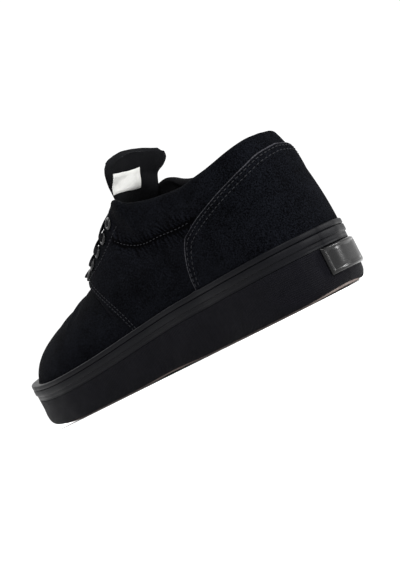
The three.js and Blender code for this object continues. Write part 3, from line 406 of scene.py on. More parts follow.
def make(name, points, faces, materials, slots=None, replaces=(), fields=None, sharp=None):
    mesh = bpy.data.meshes.new(name)
    points = (np.asarray(points, float).reshape(-1, 3) + SHIFT) / 1000
    mesh.from_pydata(points.tolist(), [], [[int(corner) for corner in face] for face in faces])
    for key, values in (fields or {}).items():
        layer = mesh.attributes.new(key, "FLOAT", "POINT")
        layer.data.foreach_set("value", np.ravel(values).astype(np.float32))
    for material in materials:
        mesh.materials.append(material)
    if slots is not None:
        mesh.polygons.foreach_set("material_index", np.asarray(slots, np.int32))
    work = bmesh.new()
    work.from_mesh(mesh)
    bmesh.ops.remove_doubles(work, verts=work.verts, dist=1e-6)
    bmesh.ops.dissolve_degenerate(work, edges=work.edges, dist=1e-7)
    loose = [vertex for vertex in work.verts if not vertex.link_faces]
    bmesh.ops.delete(work, geom=loose, context="VERTS")
    bmesh.ops.recalc_face_normals(work, faces=work.faces)
    work.to_mesh(mesh)
    work.free()
    mesh.polygons.foreach_set("use_smooth", np.ones(len(mesh.polygons), bool))
    if sharp is not None:
        mesh.set_sharp_from_angle(angle=math.radians(sharp))
    piece = bpy.data.objects.new(name, mesh)
    bpy.context.scene.collection.objects.link(piece)
    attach(piece, "root")
    if replaces:
        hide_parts(*replaces)
    triangles = sum(len(polygon.vertices) - 2 for polygon in mesh.polygons)
    print(name, "triangles", triangles)
    return piece


def resample(points, pitch):
    steps = np.linalg.norm(np.diff(points, axis=0), axis=1)
    length = np.concatenate([[0], np.cumsum(steps)])
    count = max(2, int(round(length[-1] / pitch)) + 1)
    at = np.linspace(0, length[-1], count)
    return np.stack([np.interp(at, length, points[:, axis]) for axis in range(points.shape[1])], axis=1), at


print("helpers ready")

# %% [markdown]
# A finish is a material made from nodes. To keep the recipes readable, a small class wraps an
# output socket, so that sums and products of values are written as ordinary expressions. One
# method of the finish makes every other node: its type, its settings, then its sockets.

# %% Finishes as expressions
class Value:
    """One number that varies over a surface; arithmetic on it adds Math nodes."""

    def __init__(self, finish, socket):
        self.finish, self.socket = finish, socket

    def math(self, operation, first, second=None):
        sockets = {0: first} if second is None else {0: first, 1: second}
        return self.finish.node("ShaderNodeMath", {"operation": operation}, sockets)

    def __add__(self, other):
        return self.math("ADD", self, other)

    __radd__ = __add__

    def __mul__(self, other):
        return self.math("MULTIPLY", self, other)

    __rmul__ = __mul__

    def __sub__(self, other):
        return self.math("SUBTRACT", self, other)

    def __rsub__(self, other):
        return self.math("SUBTRACT", other, self)

    def wave(self):
        return self.math("SINE", self)


class Finish:
    """A named material with a Principled surface."""

    def __init__(self, name, **constants):
        self.material = bpy.data.materials.new(name)
        self.material.use_nodes = True
        self.tree = self.material.node_tree
        self.surface = next(node for node in self.tree.nodes if node.type == "BSDF_PRINCIPLED")
        for key, value in constants.items():
            self.surface.inputs[key.replace("_", " ")].default_value = value

    def node(self, kind, settings=None, sockets=None, output=0):
        node = self.tree.nodes.new(kind)
        for key, value in (settings or {}).items():
            setattr(node, key, value)
        for key, value in (sockets or {}).items():
            self.fill(node.inputs[key], value)
        return Value(self, node.outputs[output])

    def fill(self, socket, value):
        if isinstance(value, Value):
            self.tree.links.new(value.socket, socket)
        else:
            socket.default_value = value

    def feed(self, name, value):
        self.fill(self.surface.inputs[name], value)

    def spot(self):
        return self.node("ShaderNodeTexCoord", output="Object")

    def axis(self, name):
        return self.node("ShaderNodeSeparateXYZ", {}, {"Vector": self.spot()}, output=name)

    def field(self, name):
        return self.node("ShaderNodeAttribute", {"attribute_name": name}, output="Fac")

    def noise(self, size, detail=2.0, rough=0.5):
        """Cloudy values from 0 to 1, size in millimetres."""
        sockets = {"Vector": self.spot(), "Scale": 1000.0 / size, "Detail": detail, "Roughness": rough}
        return self.node("ShaderNodeTexNoise", {}, sockets, output="Fac")

    def ramp(self, value, low, high):
        """0 below low, 1 above high."""
        sockets = {"Value": value, "From Min": low, "From Max": high}
        return self.node("ShaderNodeMapRange", {"clamp": True}, sockets)

    def blend(self, factor, first, second):
        shades = [shade if isinstance(shade, Value) else (*shade, 1) for shade in (first, second)]
        sockets = {0: factor, 6: shades[0], 7: shades[1]}
        return self.node("ShaderNodeMix", {"data_type": "RGBA"}, sockets, output=2)

    def tint(self, factor, first, second):
        self.feed("Base Color", self.blend(factor, first, second))

    def relief(self, height, depth, strength=1.0):
        """Bump from a height between 0 and 1, depth in millimetres."""
        sockets = {"Height": height, "Distance": depth / 1000.0, "Strength": strength}
        self.feed("Normal", self.node("ShaderNodeBump", {}, sockets))


print("finish class ready")

# %% [markdown]
# Suede is the flesh side of leather, brushed up into a fine nap. It swallows light and shows
# lighter and darker specks and clouds where the nap lies differently. So its colour drifts by
# noise, a fine noise lifts the surface, and the surface has next to no gloss. A field on the
# mesh paints shade into the troughs of the puckers and a highlight onto their crests.

# %% Suede and other leathers
def suede_finish(name, dark, light):
    finish = Finish(name, Roughness=0.95, Specular_IOR_Level=0.02)
    cloud = finish.noise(16, 3, 0.5)
    nap = finish.noise(0.8, 3, 0.7)
    # The pucker field is painted shade in the collar's pucker troughs and a painted highlight on their crests.
    shade = finish.ramp(nap * 0.8 + cloud * 0.2 - finish.field("painted_pucker_shading") * 0.2, 0.42, 0.62)
    finish.tint(shade, dark, light)
    finish.relief(nap + finish.noise(1.8, 2) * 0.5, 0.3, 0.9)
    return finish.material


suede = suede_finish("suede", (0.0001, 0.0001, 0.0003), (0.0036, 0.0041, 0.0058))
# Paler suede for the counter's cut edge; it also paints a highlight along that edge on the outer face.
raw_edge_and_painted_highlight = suede_finish("raw_edge_and_painted_highlight", (0.010, 0.010, 0.012), (0.042, 0.042, 0.047))
print("suede made")

# %% [markdown]
# The sidewall is vulcanised rubber. Its upper bands are smooth with a satin gloss; the broad
# wall under them carries a fine knurl, a lattice of small raised squares. The lattice comes
# from two sine waves, one along the wall and one up it, carried as fields on the mesh.

# %% Rubbers
def smudges(finish, low, high):
    finish.feed("Roughness", finish.ramp(finish.noise(18, 5, 0.65), 0.3, 0.7) * (high - low) + low)


band_finish = Finish("foxing_rubber", Specular_IOR_Level=0.07)
band_finish.tint(band_finish.noise(9, 4), (0.0008, 0.0009, 0.0015), (0.0024, 0.0025, 0.0036))
smudges(band_finish, 0.36, 0.52)
band_finish.relief(band_finish.noise(1.2, 3), 0.05, 0.6)

wall_finish = Finish("sidewall_rubber", Specular_IOR_Level=0.04)
knurl = (wall_finish.field("along") * 5.0).wave() * (wall_finish.field("up") * 5.0).wave()
wall_finish.tint(wall_finish.noise(7, 5), (0.0012, 0.0012, 0.0020), (0.0034, 0.0033, 0.0050))
smudges(wall_finish, 0.5, 0.66)
wall_finish.relief(knurl * 0.5 + wall_finish.noise(0.8, 2) * 0.3, 0.45, 1.0)

tread_finish = Finish("outsole_rubber", Specular_IOR_Level=0.3)
dust_and_shade_noise = tread_finish.ramp(tread_finish.noise(11, 6, 0.7), 0.38, 0.72)
share_x = tread_finish.axis("X") * (1000 / LENGTH) - SHIFT[0] / LENGTH
toe_share = tread_finish.ramp(share_x, 0.71, 1.0)
heel_share = tread_finish.ramp(share_x, 0.055, 0.0)
ground = toe_share * toe_share * TOE_SPRING + heel_share * heel_share * HEEL_BEVEL
# Painted shade: faces from about 1 to 3 mm above the ground plane, the floors of the waffle pockets, fade to dark
# brown.
painted_pocket_shade = tread_finish.ramp(tread_finish.axis("Z") * 1000 - ground + dust_and_shade_noise * 0.7, 0.9, 3.1)
unshaded_taupe = tread_finish.blend(dust_and_shade_noise, (0.185, 0.150, 0.136), (0.275, 0.235, 0.214))
tread_finish.tint(painted_pocket_shade, unshaded_taupe, (0.070, 0.050, 0.042))
smudges(tread_finish, 0.62, 0.8)
tread_finish.relief(tread_finish.noise(0.7, 3), 0.08, 0.6)

tab_finish = Finish("tab_rubber", Coat_Weight=0.12, Coat_Roughness=0.1, Specular_IOR_Level=0.15)
tab_finish.surface.inputs["Base Color"].default_value = (0.0015, 0.0015, 0.0017, 1)
tab_finish.feed("Roughness", tab_finish.noise(4, 3) * 0.08 + 0.2)
band_rubber, wall_rubber = band_finish.material, wall_finish.material
tread_rubber, tab_rubber = tread_finish.material, tab_finish.material
print("rubbers made")

# %% [markdown]
# The lining, tongue, laces, label and thread are woven or spun. A plain weave is two sets of
# yarns that pass over and under each other: two crossed sine waves, at the real yarn pitch.

# %% Fabrics and thread
def woven_finish(name, dark, light, pitch, depth):
    finish = Finish(name, Roughness=0.9, Specular_IOR_Level=0.03)
    turns = 2 * math.pi / pitch
    weft = (finish.field("along") * turns).wave()
    warp = (finish.field("across") * turns).wave()
    weave = weft * warp * 0.5 + 0.5
    finish.tint(weave * 0.5 + finish.noise(5, 3) * 0.5, dark, light)
    finish.relief(weave, depth, 0.9)
    return finish.material


def yarn_finish(name, dark, light):
    finish = Finish(name, Roughness=0.7, Specular_IOR_Level=0.1)
    finish.tint(finish.noise(1.5, 2), dark, light)
    finish.relief(finish.noise(0.35, 1), 0.06, 0.6)
    return finish.material


lining_cloth = woven_finish("lining_fabric", (0.0015, 0.0015, 0.0018), (0.0055, 0.0055, 0.0062), 0.9, 0.12)
tongue_cloth = woven_finish("tongue_fabric", (0.0016, 0.0017, 0.0020), (0.0058, 0.0060, 0.0068), 0.8, 0.14)
lace_cloth = woven_finish("lace_fabric", (0.002, 0.002, 0.0024), (0.008, 0.008, 0.009), 1.0, 0.2)
label_cloth = woven_finish("label_fabric", (0.36, 0.36, 0.35), (0.56, 0.56, 0.54), 0.6, 0.08)
insole_cloth = woven_finish("insole_fabric", (0.009, 0.009, 0.011), (0.024, 0.024, 0.027), 1.1, 0.14)
thread = yarn_finish("thread", (0.005, 0.0053, 0.0064), (0.014, 0.0146, 0.017))
enamel_finish = Finish("eyelet_metal", Roughness=0.34, Specular_IOR_Level=0.25)
enamel_finish.tint(enamel_finish.noise(2, 2), (0.002, 0.002, 0.0023), (0.005, 0.005, 0.0056))
enamel = enamel_finish.material
print("fabrics made")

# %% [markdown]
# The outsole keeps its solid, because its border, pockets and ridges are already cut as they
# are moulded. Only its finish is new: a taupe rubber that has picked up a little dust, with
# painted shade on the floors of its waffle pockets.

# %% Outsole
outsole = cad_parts["outsole"]
outsole.data.materials.clear()
outsole.data.materials.append(tread_rubber)
print("outsole dressed")

# %% [markdown]
# The sidewall cup is one ring after another around the outline, from the recess that holds the
# outsole, out over the rounded bottom edge, up the wall and back inside. The knurl needs a
# field that counts millimetres along the wall.

# %% Sidewall
RING_TURNS = np.linspace(0, 2 * np.pi, 481)[:-1]


def around(inset, height_at):
    spot = edge(RING_TURNS, inset)
    return stack(spot[:, 0], spot[:, 1], height_at(spot[:, 0]))


def against_wall(height_at, distance):
    z = height_at(edge(RING_TURNS, SIDEWALL_THICKNESS)[:, 0])
    spot = off_face(RING_TURNS, rise_at(RING_TURNS, z), np.full_like(z, distance))
    return stack(spot[:, 0], spot[:, 1], z)


def wall_bottom(x):
    return ground_at(x) + SIDEWALL_LIFT


def wall_top(x):
    return foxing_top_at(x) - FOXING_HEIGHT - CLEARANCE


def ring_lengths(ring):
    steps = np.linalg.norm(np.diff(np.vstack([ring, ring[:1]]), axis=0), axis=1)
    return np.concatenate([[0], np.cumsum(steps)[:-1]])


def loft(rings, closed):
    count = len(rings[0])
    faces = grid_faces(len(rings), count, closed, True)
    if closed:
        return faces
    half = count // 2
    caps = []
    for start in (0, (len(rings) - 1) * count):
        for index in range(half):
            far, near = (count - index) % count, count - index - 1
            caps.append((start + index, start + index + 1, start + near, start + far))
    return np.vstack([faces, caps])


WALL_PROFILE = [
    (0.0, 3.4), (0.15, 2.7), (0.6, 2.1), (1.2, 1.65), (2.0, 1.2), (3.0, 0.8), (4.5, 0.45),
    (6.5, 0.2), (9.0, 0.1), (12.0, 0.2), (15.0, 0.3), (18.0, 0.25),
]
recess = OUTSOLE_MARGIN - CLEARANCE
rings = [around(recess, lambda x: ground_at(x) + OUTSOLE_THICKNESS + CLEARANCE), around(recess, wall_bottom)]
for rise_mm, inset in WALL_PROFILE:
    share = rise_mm / 23.7
    rings.append(around(inset, lambda x: mix(wall_bottom(x), wall_top(x), share)))
rings += [
    around(0.05, wall_top),
    against_wall(wall_top, FITTED_GAP),
    against_wall(lambda x: mix(wall_top(x), bed_at(x), 0.5), FITTED_GAP),
    against_wall(bed_at, FITTED_GAP),
]
along = np.tile(ring_lengths(rings[8]), (len(rings), 1))
up = np.array([ring[:, 2] for ring in rings])
make("sidewall", np.array(rings), loft(rings, False), [wall_rubber], replaces=("midsole",),
     fields={"along": along, "up": up}, sharp=50)

# %% [markdown]
# The foxing is a strip of rubber wrapped around the join of upper and sole. Its section shows
# a rounded top, a narrow groove and a step. The strip's two ends overlap at the heel's back,
# which leaves a soft vertical lump.

# %% Foxing
FOXING_PROFILE = [
    (0.0, 0.05), (0.12, 0.45), (0.4, 0.75), (0.9, 0.9), (1.8, 0.92), (2.8, 0.9), (3.05, 0.78),
    (3.25, 0.4), (3.45, 0.22), (3.65, 0.4), (3.85, 0.78), (4.1, 0.9), (5.6, 0.94), (7.3, 0.9),
    (7.6, 0.78), (7.8, 0.4), (7.95, 0.05), (8.2, -0.02), (9.2, 0.05), (10.2, 0.02), (10.4, -0.1),
    (10.6, -0.02), (11.5, 0.0),
]
LAP_START_Y, LAP_END_Y, LAP_PROUD = 8.0, -15.0, 0.8
ring_y = outline(RING_TURNS)[:, 1]
at_heel = ease((20 - outline(RING_TURNS)[:, 0]) / 10)
lap = LAP_PROUD * at_heel * ease((LAP_START_Y - ring_y) / 1.4) * ease((ring_y - LAP_END_Y) / 9.0)
edge_wave = 0.45 * bell(outline(RING_TURNS)[:, 0] - 79, 3.5)


def foxing_ring(down, proud):
    spot = outline(RING_TURNS) + outward(RING_TURNS) * (proud + lap)[:, None]
    keep = ease(1 - down / 4)
    return stack(spot[:, 0], spot[:, 1], foxing_top_at(spot[:, 0]) - down + edge_wave * keep)


rings = [foxing_ring(down, proud) for down, proud in FOXING_PROFILE]
for down in (11.5, 6.0, 0.0):
    rings.append(against_wall(lambda x: foxing_top_at(x) - down, FITTED_GAP - 0.3))
rings[-1][:, 2] += edge_wave
make("foxing_band", np.array(rings), loft(rings, True), [band_rubber], replaces=("foxing",),
     sharp=60)

# %% [markdown]
# The upper is lasted suede. Its grid follows the sections, dense enough for the seam's step
# and for the small puckers that the thread pulls into the padded collar. The creases are
# placed one by one: each is a soft trough or ridge between two points of the wall, given in the
# shoe's own millimetres, with a width and a depth. Random noise would not know where a shoe
# bends.

# %% Creases and puckers
COLLAR_LINE = np.array([
    (48.0, 73.2), (58.0, 73.4), (66.7, 73.8), (74.6, 74.5), (82.3, 75.6), (90.3, 76.6), (100.0, 77.3),
    (110.0, 79.2), (120.8, 83.3), (129.0, 87.9), (137.0, 93.5),
])
SIDE_CREASES = [
    (1, 96, 93, 112, 99, 2.6, -0.7), (1, 84, 86, 101, 90, 2.4, -0.5), (1, 54, 84, 66, 88, 2.6, -0.4),
    (1, 88, 66, 118, 72, 5.0, -0.7), (1, 96, 56, 128, 52, 6.0, -0.5), (1, 120, 66, 138, 79, 4.0, -0.5),
    (1, 132, 58, 150, 66, 3.5, 0.35), (1, 36, 60, 60, 57, 7.0, -0.35), (-1, 92, 92, 110, 99, 2.8, -0.7),
    (-1, 88, 66, 120, 73, 5.0, -0.7), (-1, 100, 55, 132, 52, 6.0, -0.5), (-1, 122, 68, 140, 80, 4.0, -0.5),
    (-1, 40, 62, 62, 58, 7.0, -0.35), (1, 108, 82, 116, 95, 2.2, -0.4), (-1, 106, 82, 114, 95, 2.2, -0.4),
]
TOP_CREASES = [
    (206, -34, 204, 26, 3.2, -0.8), (213, -36, 212, 30, 3.4, 0.55), (220, -34, 219, 24, 3.4, -0.65),
    (228, -30, 229, 22, 4.0, 0.35), (236, -24, 237, 14, 4.5, -0.3),
]


def beside(u, v, start_u, start_v, end_u, end_v):
    """Distance from a segment in a plane, and how far along it, from 0 to 1."""
    run = np.array([end_u - start_u, end_v - start_v])
    share = ((u - start_u) * run[0] + (v - start_v) * run[1]) / (run @ run)
    near = np.clip(share, 0, 1)
    return np.hypot(u - start_u - near * run[0], v - start_v - near * run[1]), share


def crease_depth(points, side):
    x, y, z = points[..., 0], points[..., 1], points[..., 2]
    total = np.zeros_like(x)
    for its_side, x0, z0, x1, z1, width, depth in SIDE_CREASES:
        distance, _ = beside(x, z, x0, z0, x1, z1)
        total += np.where(side == its_side, depth * bell(distance, width), 0.0)
    for x0, y0, x1, y1, width, depth in TOP_CREASES:
        distance, _ = beside(x, y, x0, y0, x1, y1)
        total += depth * bell(distance, width) * ease((z - 44) / 12)
    return total


def collar_depth(points):
    """The channel pulled in by the collar's thread, with puckers across it."""
    x, z = points[..., 0], points[..., 2]
    line = follow(COLLAR_LINE[:, 0], COLLAR_LINE[:, 1], x)
    distance = (z - line) * 0.94
    ends = ease((x - 50) / 10) * ease((137 - x) / 8)
    pulled = -1.1 * bell(distance, 1.5)
    reach = 5.2 + 1.5 * np.sin(x * 0.83 + 0.6) + 0.9 * np.sin(x * 1.9)
    phase = 2 * np.pi * (x + 0.5 * np.sin(x * 0.37) + distance * 0.22 * np.sin(x * 0.21 + 1.0)) / 3.5
    size = 0.66 + 0.24 * np.sin(x * 0.55) + 0.2 * np.sin(x * 1.31 + 2)
    pucker = size * np.cos(phase) * bell(distance, reach) * (1 - 0.6 * bell(distance, 0.9))
    return (pulled + pucker) * ends


def above_foxing(points):
    return ease((points[..., 2] - foxing_top_at(points[..., 0]) - 1.5) / 6)


print("creases", len(SIDE_CREASES) + len(TOP_CREASES))

# %% Upper
OUTER_ROWS, RIM_STEPS, INNER_ROWS = 84, 9, 26
half_turns = np.linspace(0, np.pi, 361)
at_seam = turn_of(SEAM_AT + np.array([-3.0, -1.4, -0.5, -0.1, 0.15, 0.3, 0.5, 0.8, 1.4, 2.4]) / LENGTH)
half_turns = half_turns[np.abs(half_turns - at_seam.mean()) > 0.022]
half_turns = np.sort(np.concatenate([half_turns, at_seam, [turn_of(THROAT_FRONT_AT)]]))
UPPER_TURNS = np.concatenate([half_turns, 2 * np.pi - half_turns[-2:0:-1]])


def rim_start(turn):
    top, below = last_point(turn, np.ones_like(turn)), last_point(turn, np.full_like(turn, 0.96))
    run = np.linalg.norm(top - below, axis=-1)
    open_start = 1 - 0.04 * wall_depth(turn, np.ones_like(turn)) / 2 / run
    return np.where(is_closed(turn), 1.0, open_start)


start = rim_start(UPPER_TURNS)
outer_share = np.linspace(0, 1, OUTER_ROWS + 1)[None, :]
turns = UPPER_TURNS[:, None]
outer_rise = start[:, None] * outer_share
outer = off_face(turns, outer_rise, np.zeros_like(outer_rise))
outer_normal = last_normal(turns, outer_rise)
side = side_of(turns) * np.ones_like(outer_rise)
fade = ease((1.0 - outer_share) / 0.06)
puckered = collar_depth(outer) * fade
depth = (crease_depth(outer, side) + puckered) * above_foxing(outer)
outer = outer + outer_normal * depth[..., None]
# Painted shading for the suede's colour: positive values darken the pucker troughs, negative values lighten their
# crests.
outer_painted_shading = np.clip(-puckered / 0.6, -0.7, 1.0)
inner_rise = start[:, None] * np.linspace(1, 0, INNER_ROWS + 1)[None, :]
inner = off_lining(turns, inner_rise, np.zeros_like(inner_rise))
rim_depth = wall_depth(UPPER_TURNS, start)[:, None]
angles = np.pi * np.arange(1, RIM_STEPS + 1) / (RIM_STEPS + 1)
edge_normal = last_normal(UPPER_TURNS, start)
run_up = unit(last_point(UPPER_TURNS, start) - last_point(UPPER_TURNS, start - 0.02))
inward = -edge_normal[:, None, :] * (rim_depth * (1 - np.cos(angles)) / 2)[..., None]
upward = run_up[:, None, :] * (rim_depth / 2 * np.sin(angles))[..., None]
upward = np.where(is_closed(UPPER_TURNS)[:, None, None], 0.0, upward)
rim = outer[:, -1:, :] + inward + upward
columns = np.concatenate([outer, rim, inner], axis=1)
height = columns.shape[1]
faces = grid_faces(len(UPPER_TURNS), height, True, True)
face_row = np.tile(np.arange(height), len(UPPER_TURNS))
face_column = np.repeat(np.arange(len(UPPER_TURNS)), height)
closed = is_closed(UPPER_TURNS)
both_closed = closed[face_column] & closed[(face_column + 1) % len(UPPER_TURNS)]
on_rim = (face_row >= OUTER_ROWS) & (face_row <= OUTER_ROWS + RIM_STEPS)
flat_points = columns.reshape(-1, 3)
centres = flat_points[faces].mean(axis=1)
print("upper grid", columns.shape[:2])

# %% [markdown]
# Five eyelets on each side stand in holes of the eyestay. Each is a short barrel with a rolled
# flange. The holes are cut by leaving out the faces inside each barrel; the flange covers the
# cut edge, as a real one does.

# %% Eyelets
EYELET_PAIRS, EYELET_INSET = 5, 7.5
EYELET_BACK, EYELET_FRONT = 0.456, 0.618
EYELET_BORE, EYELET_BARREL = 2.2, 0.5
throat_turns = np.linspace(turn_of(PAD_END_AT), np.pi, 600)
throat_x = top_point(throat_turns)[:, 0]


def throat_turn(x):
    return np.interp(x, throat_x, throat_turns)


def below_edge(turn, side, distance):
    folded = np.where(side > 0, turn, 2 * np.pi - turn)
    run = last_point(folded, np.ones_like(folded)) - last_point(folded, np.full_like(folded, 0.9))
    return folded, 1 - 0.1 * distance / np.linalg.norm(run, axis=-1)


eyelets = []
for side_sign in (1, -1):
    for index in range(EYELET_PAIRS):
        x = np.array([LENGTH * mix(EYELET_FRONT, EYELET_BACK, index / (EYELET_PAIRS - 1))])
        spot_turn, spot_rise = below_edge(throat_turn(x), side_sign, EYELET_INSET)
        centre = off_face(spot_turn, spot_rise, np.zeros(1))[0]
        eyelets.append({"side": side_sign, "index": index, "x": x[0], "centre": centre,
                        "normal": last_normal(spot_turn, spot_rise)[0]})

hole = np.zeros(len(faces), bool)
for eyelet in eyelets:
    offset = centres - eyelet["centre"]
    along_axis = offset @ eyelet["normal"]
    radius = np.linalg.norm(offset - along_axis[:, None] * eyelet["normal"], axis=1)
    hole |= (radius < EYELET_BORE + EYELET_BARREL) & (np.abs(along_axis) < 6)
keep = ~(on_rim & both_closed) & ~hole
lined = (face_row >= OUTER_ROWS + RIM_STEPS // 2) & (face_row < height - 1)
uppers_up = columns[..., 2]
# Painted pucker shading on the outer rows only; the rim and the lining get none.
painted_pucker_shading = np.zeros(columns.shape[:2])
painted_pucker_shading[:, :OUTER_ROWS + 1] = outer_painted_shading
uppers_along = np.tile((UPPER_TURNS * 80)[:, None], (1, height))
make("suede_upper", columns, faces[keep], [suede, lining_cloth], slots=lined[keep].astype(int),
     replaces=("upper",), fields={"along": uppers_along, "across": uppers_up, "painted_pucker_shading": painted_pucker_shading})

EYELET_PROFILE = [
    (2.7, -3.4), (2.2, -3.4), (2.2, 0.7), (2.3, 1.15), (2.6, 1.4), (3.0, 1.42), (3.5, 1.25),
    (3.95, 0.9), (4.1, 0.5), (4.0, 0.2), (2.7, 0.2),
]


def lathe_on(centre, axis, profile, segments):
    helper = np.array([1.0, 0.0, 0.0]) if abs(axis[0]) < 0.7 else np.array([0.0, 1.0, 0.0])
    first = unit(np.cross(axis, helper))
    second = np.cross(axis, first)
    angle = np.linspace(0, 2 * np.pi, segments + 1)[:-1]
    ring = np.cos(angle)[:, None] * first + np.sin(angle)[:, None] * second
    return np.array([centre + ring * radius + axis * lift for radius, lift in profile])


points, faces_list = [], []
for eyelet in eyelets:
    rings = lathe_on(eyelet["centre"], eyelet["normal"], EYELET_PROFILE, 28)
    faces_list.append(grid_faces(len(rings), 28, True, True, start=sum(map(len, points))))
    points.append(rings.reshape(-1, 3))
names = [f"eyelet_{word}_{index}" for word in ("lateral", "medial") for index in range(1, EYELET_PAIRS + 1)]
make("eyelets", np.vstack(points), np.vstack(faces_list), [enamel], replaces=names,
     sharp=50)

# %% [markdown]
# The heel counter is cut from thicker suede and sewn over the quarters. Its cut edge is paler
# than the nap. It is a sheet with an outer and an inner grid, and its border is the cut edge.
# A narrow band of the outer face along that edge gets the same pale suede, a painted
# highlight on the rolled corner.

# %% Heel counter
COUNTER_TOP = np.array([
    (0.00, 0.890), (0.25, 0.874), (0.43, 0.844), (0.66, 0.798), (0.79, 0.763), (0.91, 0.718), (1.00, 0.665),
])
COUNTER_FRONT = np.array([
    (0.300, 0.266), (0.420, 0.264), (0.480, 0.260), (0.545, 0.252), (0.610, 0.241), (0.665, 0.228),
])
COUNTER_COLUMNS, COUNTER_ROWS = 121, 64
front_z = np.linspace(30, 92, 40)
front_at = follow(COUNTER_FRONT[:, 0], COUNTER_FRONT[:, 1], front_z / HEEL_HEIGHT)
front_turns = wall_turn(LENGTH * front_at, front_z)


def counter_spot(forward_share, upward):
    foot = foxing_top_at(0.0) - 0.6
    z = mix(foot, follow(COUNTER_TOP[:, 0], COUNTER_TOP[:, 1], np.abs(forward_share)) * HEEL_HEIGHT, upward)
    return forward_share * np.interp(z, front_z, front_turns), z


share = np.linspace(-1, 1, 2 * COUNTER_COLUMNS - 1)[None, :]
level = np.linspace(0, 1, COUNTER_ROWS)[:, None]
counter_turn, counter_z = counter_spot(share * np.ones_like(level), level * np.ones_like(share))
counter_rise = rise_at(counter_turn, counter_z)
rim_near = np.minimum((1 - np.abs(share)) * 80, (1 - level) * 46)
thick = FITTED_GAP + COUNTER_THICKNESS - 0.55 * np.exp(-rim_near / 0.5)
stitch_pull = -0.28 * (bell(rim_near - 2.2, 0.8) + bell(rim_near - 5.0, 0.8))
front_face = off_face(counter_turn, counter_rise, thick + stitch_pull)
front_face = front_face + last_normal(counter_turn, counter_rise) * (
    crease_depth(front_face, side_of(counter_turn)) * above_foxing(front_face))[..., None]
back_face = off_face(counter_turn, counter_rise, np.zeros_like(thick) + 0.1)
rows, wide = front_face.shape[:2]
rim_count = len(border_of(rows, wide))
# Painted highlight: outer-face cells within about 0.6 mm of the cut edge take the pale cut-edge suede.
painted_edge_highlight = (rim_near[:-1, :-1] + rim_near[1:, 1:]) / 2 < 0.62
slots = np.concatenate([painted_edge_highlight.ravel(), np.zeros((rows - 1) * (wide - 1)), np.ones(rim_count)])
make("counter_overlay", np.vstack([front_face.reshape(-1, 3), back_face.reshape(-1, 3)]),
     sheet_faces(rows, wide), [suede, raw_edge_and_painted_highlight], slots=slots.astype(int), replaces=("heel_counter",), sharp=50)

# %% [markdown]
# Stitches are what show that a shoe is sewn. Each is a short arched piece of thread that dips
# into the suede at both ends. One stitch is made and repeated along paths that follow the
# panels' edges at the real pitch, about 3 mm, and all of them are joined in one mesh.

# %% Stitches
STITCH_RADIUS = 0.30
ring_angle = np.linspace(0, 2 * np.pi, 7)[:-1]
stitch_points, stitch_faces = [], []


def sew(path, normals, pitch, filled=0.72):
    """Adds stitches along a path that lies on the surface."""
    spots, at = resample(np.hstack([path, normals]), pitch)
    for start_spot, end_spot in zip(spots[:-1], spots[1:]):
        head, tail = start_spot[:3], start_spot[:3] + (end_spot[:3] - start_spot[:3]) * filled
        normal = unit(start_spot[3:] + end_spot[3:])
        run = unit(tail - head)
        sideways = np.cross(run, normal)
        share = np.linspace(0, 1, 7)
        swell = np.sqrt(np.clip(1 - (2 * share - 1) ** 4, 0.02, 1)) * STITCH_RADIUS
        lift = 0.30 * np.sin(np.pi * share) - 0.10
        centre = head + (tail - head) * share[:, None] + normal * lift[:, None]
        ring = np.cos(ring_angle)[:, None] * sideways + np.sin(ring_angle)[:, None] * normal * 0.8
        add_tube(centre[:, None, :] + ring * swell[:, None, None], stitch_points, stitch_faces)


def on_wall(turn, z, distance):
    rise = rise_at(turn, z)
    return off_face(turn, rise, np.zeros_like(z) + distance), last_normal(turn, rise)


def counter_path(inset):
    """The counter's free edge, moved inside by this many millimetres."""
    level = np.linspace(0.02, 1, 30)
    share = np.linspace(1, 0, 60)[1:]
    front, top = counter_spot(np.ones_like(level), level), counter_spot(share, np.ones_like(share))
    turn, z = np.concatenate([front[0], top[0]]), np.concatenate([front[1], top[1]])
    radius = np.linspace(0, 1, 200)
    grid_turn = radius * front_turns.max() * 1.05
    middle = on_wall(grid_turn, np.full_like(grid_turn, 60.0), 2.0)[0]
    length = np.concatenate([[0], np.cumsum(np.linalg.norm(np.diff(middle, axis=0), axis=1))])
    flat = np.stack([np.interp(turn, grid_turn, length), z], axis=1)
    flat, _ = resample(flat, 1.0)
    for _ in range(4):
        flat[1:-1] = (flat[:-2] + 2 * flat[1:-1] + flat[2:]) / 4
    run = unit(np.gradient(flat, axis=0))
    flat = flat + stack(-run[:, 1], run[:, 0]) * inset
    flat = flat[flat[:, 0] > 0]
    half = np.interp(flat[:, 0], length, grid_turn)
    turn = np.concatenate([half, -half[::-1]])
    z = np.concatenate([flat[:, 1], flat[::-1, 1]])
    keep = z > foxing_top_at(80.0) + 1.5
    return turn[keep], z[keep]


